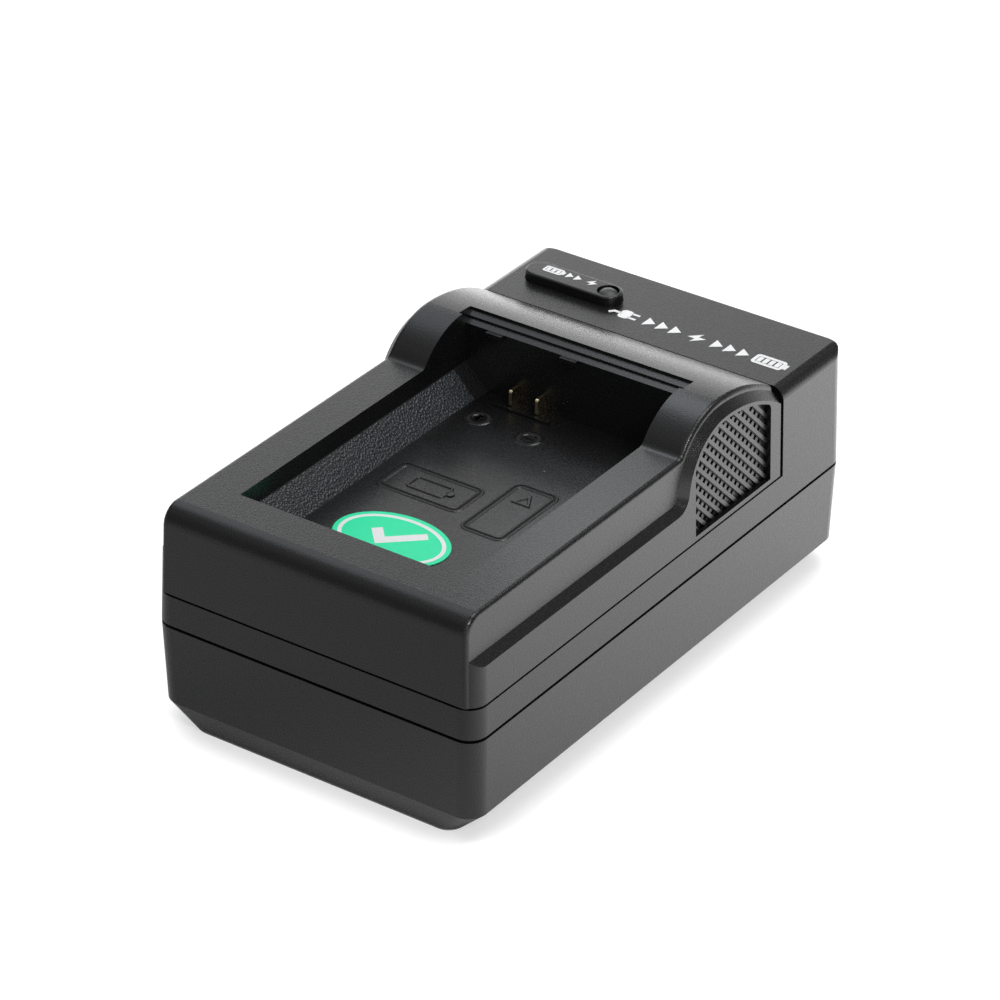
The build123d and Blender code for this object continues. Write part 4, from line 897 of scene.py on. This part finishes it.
def soft_lamp(name, place, aim, size, power):
    """Soft flat lamp at a place in millimetres, turned to an aim."""
    data = bpy.data.lights.new(name, "AREA")
    data.shape = "RECTANGLE"
    data.size = size[0] * MM
    data.size_y = size[1] * MM
    data.energy = power
    made = bpy.data.objects.new(name, data)
    bpy.context.scene.collection.objects.link(made)
    made.location = Vector(place) * MM
    made.rotation_euler = (Vector(aim) - Vector(place)).to_track_quat("-Z", "Y").to_euler()
    made.visible_camera = False
    return made


def soft_light(tree, way, row, azimuth, elevation, inner, outer, colour):
    """Round soft light in the surroundings: full within its inner angle, gone at its outer one."""
    level = cos(radians(elevation))
    middle = (level * cos(radians(azimuth)), level * sin(radians(azimuth)), sin(radians(elevation)))
    facing = node(tree, "ShaderNodeVectorMath", (-1300, row), operation="DOT_PRODUCT")
    facing.inputs[1].default_value = middle
    fade = node(tree, "ShaderNodeMapRange", (-1100, row), interpolation_type="SMOOTHSTEP")
    fade.inputs["From Min"].default_value = cos(radians(outer))
    fade.inputs["From Max"].default_value = cos(radians(inner))
    lit = node(tree, "ShaderNodeVectorMath", (-900, row), operation="SCALE")
    lit.inputs[0].default_value = colour
    tree.links.new(way, facing.inputs[0])
    tree.links.new(facing.outputs["Value"], fade.inputs["Value"])
    tree.links.new(fade.outputs["Result"], lit.inputs["Scale"])
    return lit.outputs["Vector"]


def world_light():
    """Studio surroundings: a dim dome with round soft lights in it, and plain white for the eye."""
    world = bpy.data.worlds.new("Studio")
    bpy.context.scene.world = world
    world.use_nodes = True
    tree = world.node_tree
    link = tree.links.new
    background = tree.nodes["Background"]
    place = node(tree, "ShaderNodeTexCoord", (-1500, 0))
    lit = node(tree, "ShaderNodeVectorMath", (-700, 0), operation="ADD")
    lit.inputs[0].default_value = DOME
    for index, light in enumerate(SOFT_LIGHTS):
        link(soft_light(tree, place.outputs["Generated"], -250 * index, *light), lit.inputs[1])
        if index < len(SOFT_LIGHTS) - 1:
            following = node(tree, "ShaderNodeVectorMath", (-700, -250 * index - 250), operation="ADD")
            link(lit.outputs["Vector"], following.inputs[0])
            lit = following
    rays = node(tree, "ShaderNodeLightPath", (-700, 400))
    through = node(tree, "ShaderNodeMath", (-450, 400), operation="MAXIMUM")
    choice = node(tree, "ShaderNodeMix", (-200, 100), data_type="RGBA")
    choice.inputs["B"].default_value = (1, 1, 1, 1)
    link(rays.outputs["Is Camera Ray"], through.inputs[0])
    link(rays.outputs["Is Transmission Ray"], through.inputs[1])
    link(through.outputs["Value"], choice.inputs["Factor"])
    link(lit.outputs["Vector"], choice.inputs["A"])
    link(choice.outputs["Result"], background.inputs["Color"])
    background.inputs["Strength"].default_value = 1.0


floor_piece()
world_light()
soft_lamp("overhead", KEY_PLACE, KEY_AIM, KEY_SIZE, KEY_POWER)
soft_lamp("rear panel", PANEL_PLACE, PANEL_AIM, PANEL_SIZE, PANEL_POWER)
card = soft_lamp("small card", CARD_PLACE, CARD_AIM, CARD_SIZE, CARD_POWER)
card.data.color = CARD_COLOUR

camera_data = bpy.data.cameras.new("photo camera")
camera_data.lens = CAMERA_LENS
camera_data.sensor_width = SENSOR
camera_data.clip_end = 20.0
camera = bpy.data.objects.new("photo camera", camera_data)
bpy.context.scene.collection.objects.link(camera)
camera.location = Vector(CAMERA_PLACE) * MM
camera.rotation_euler = Euler([radians(turn) for turn in CAMERA_TURN], "XYZ")
bpy.context.scene.camera = camera
bpy.context.scene.view_settings.view_transform = "Standard"
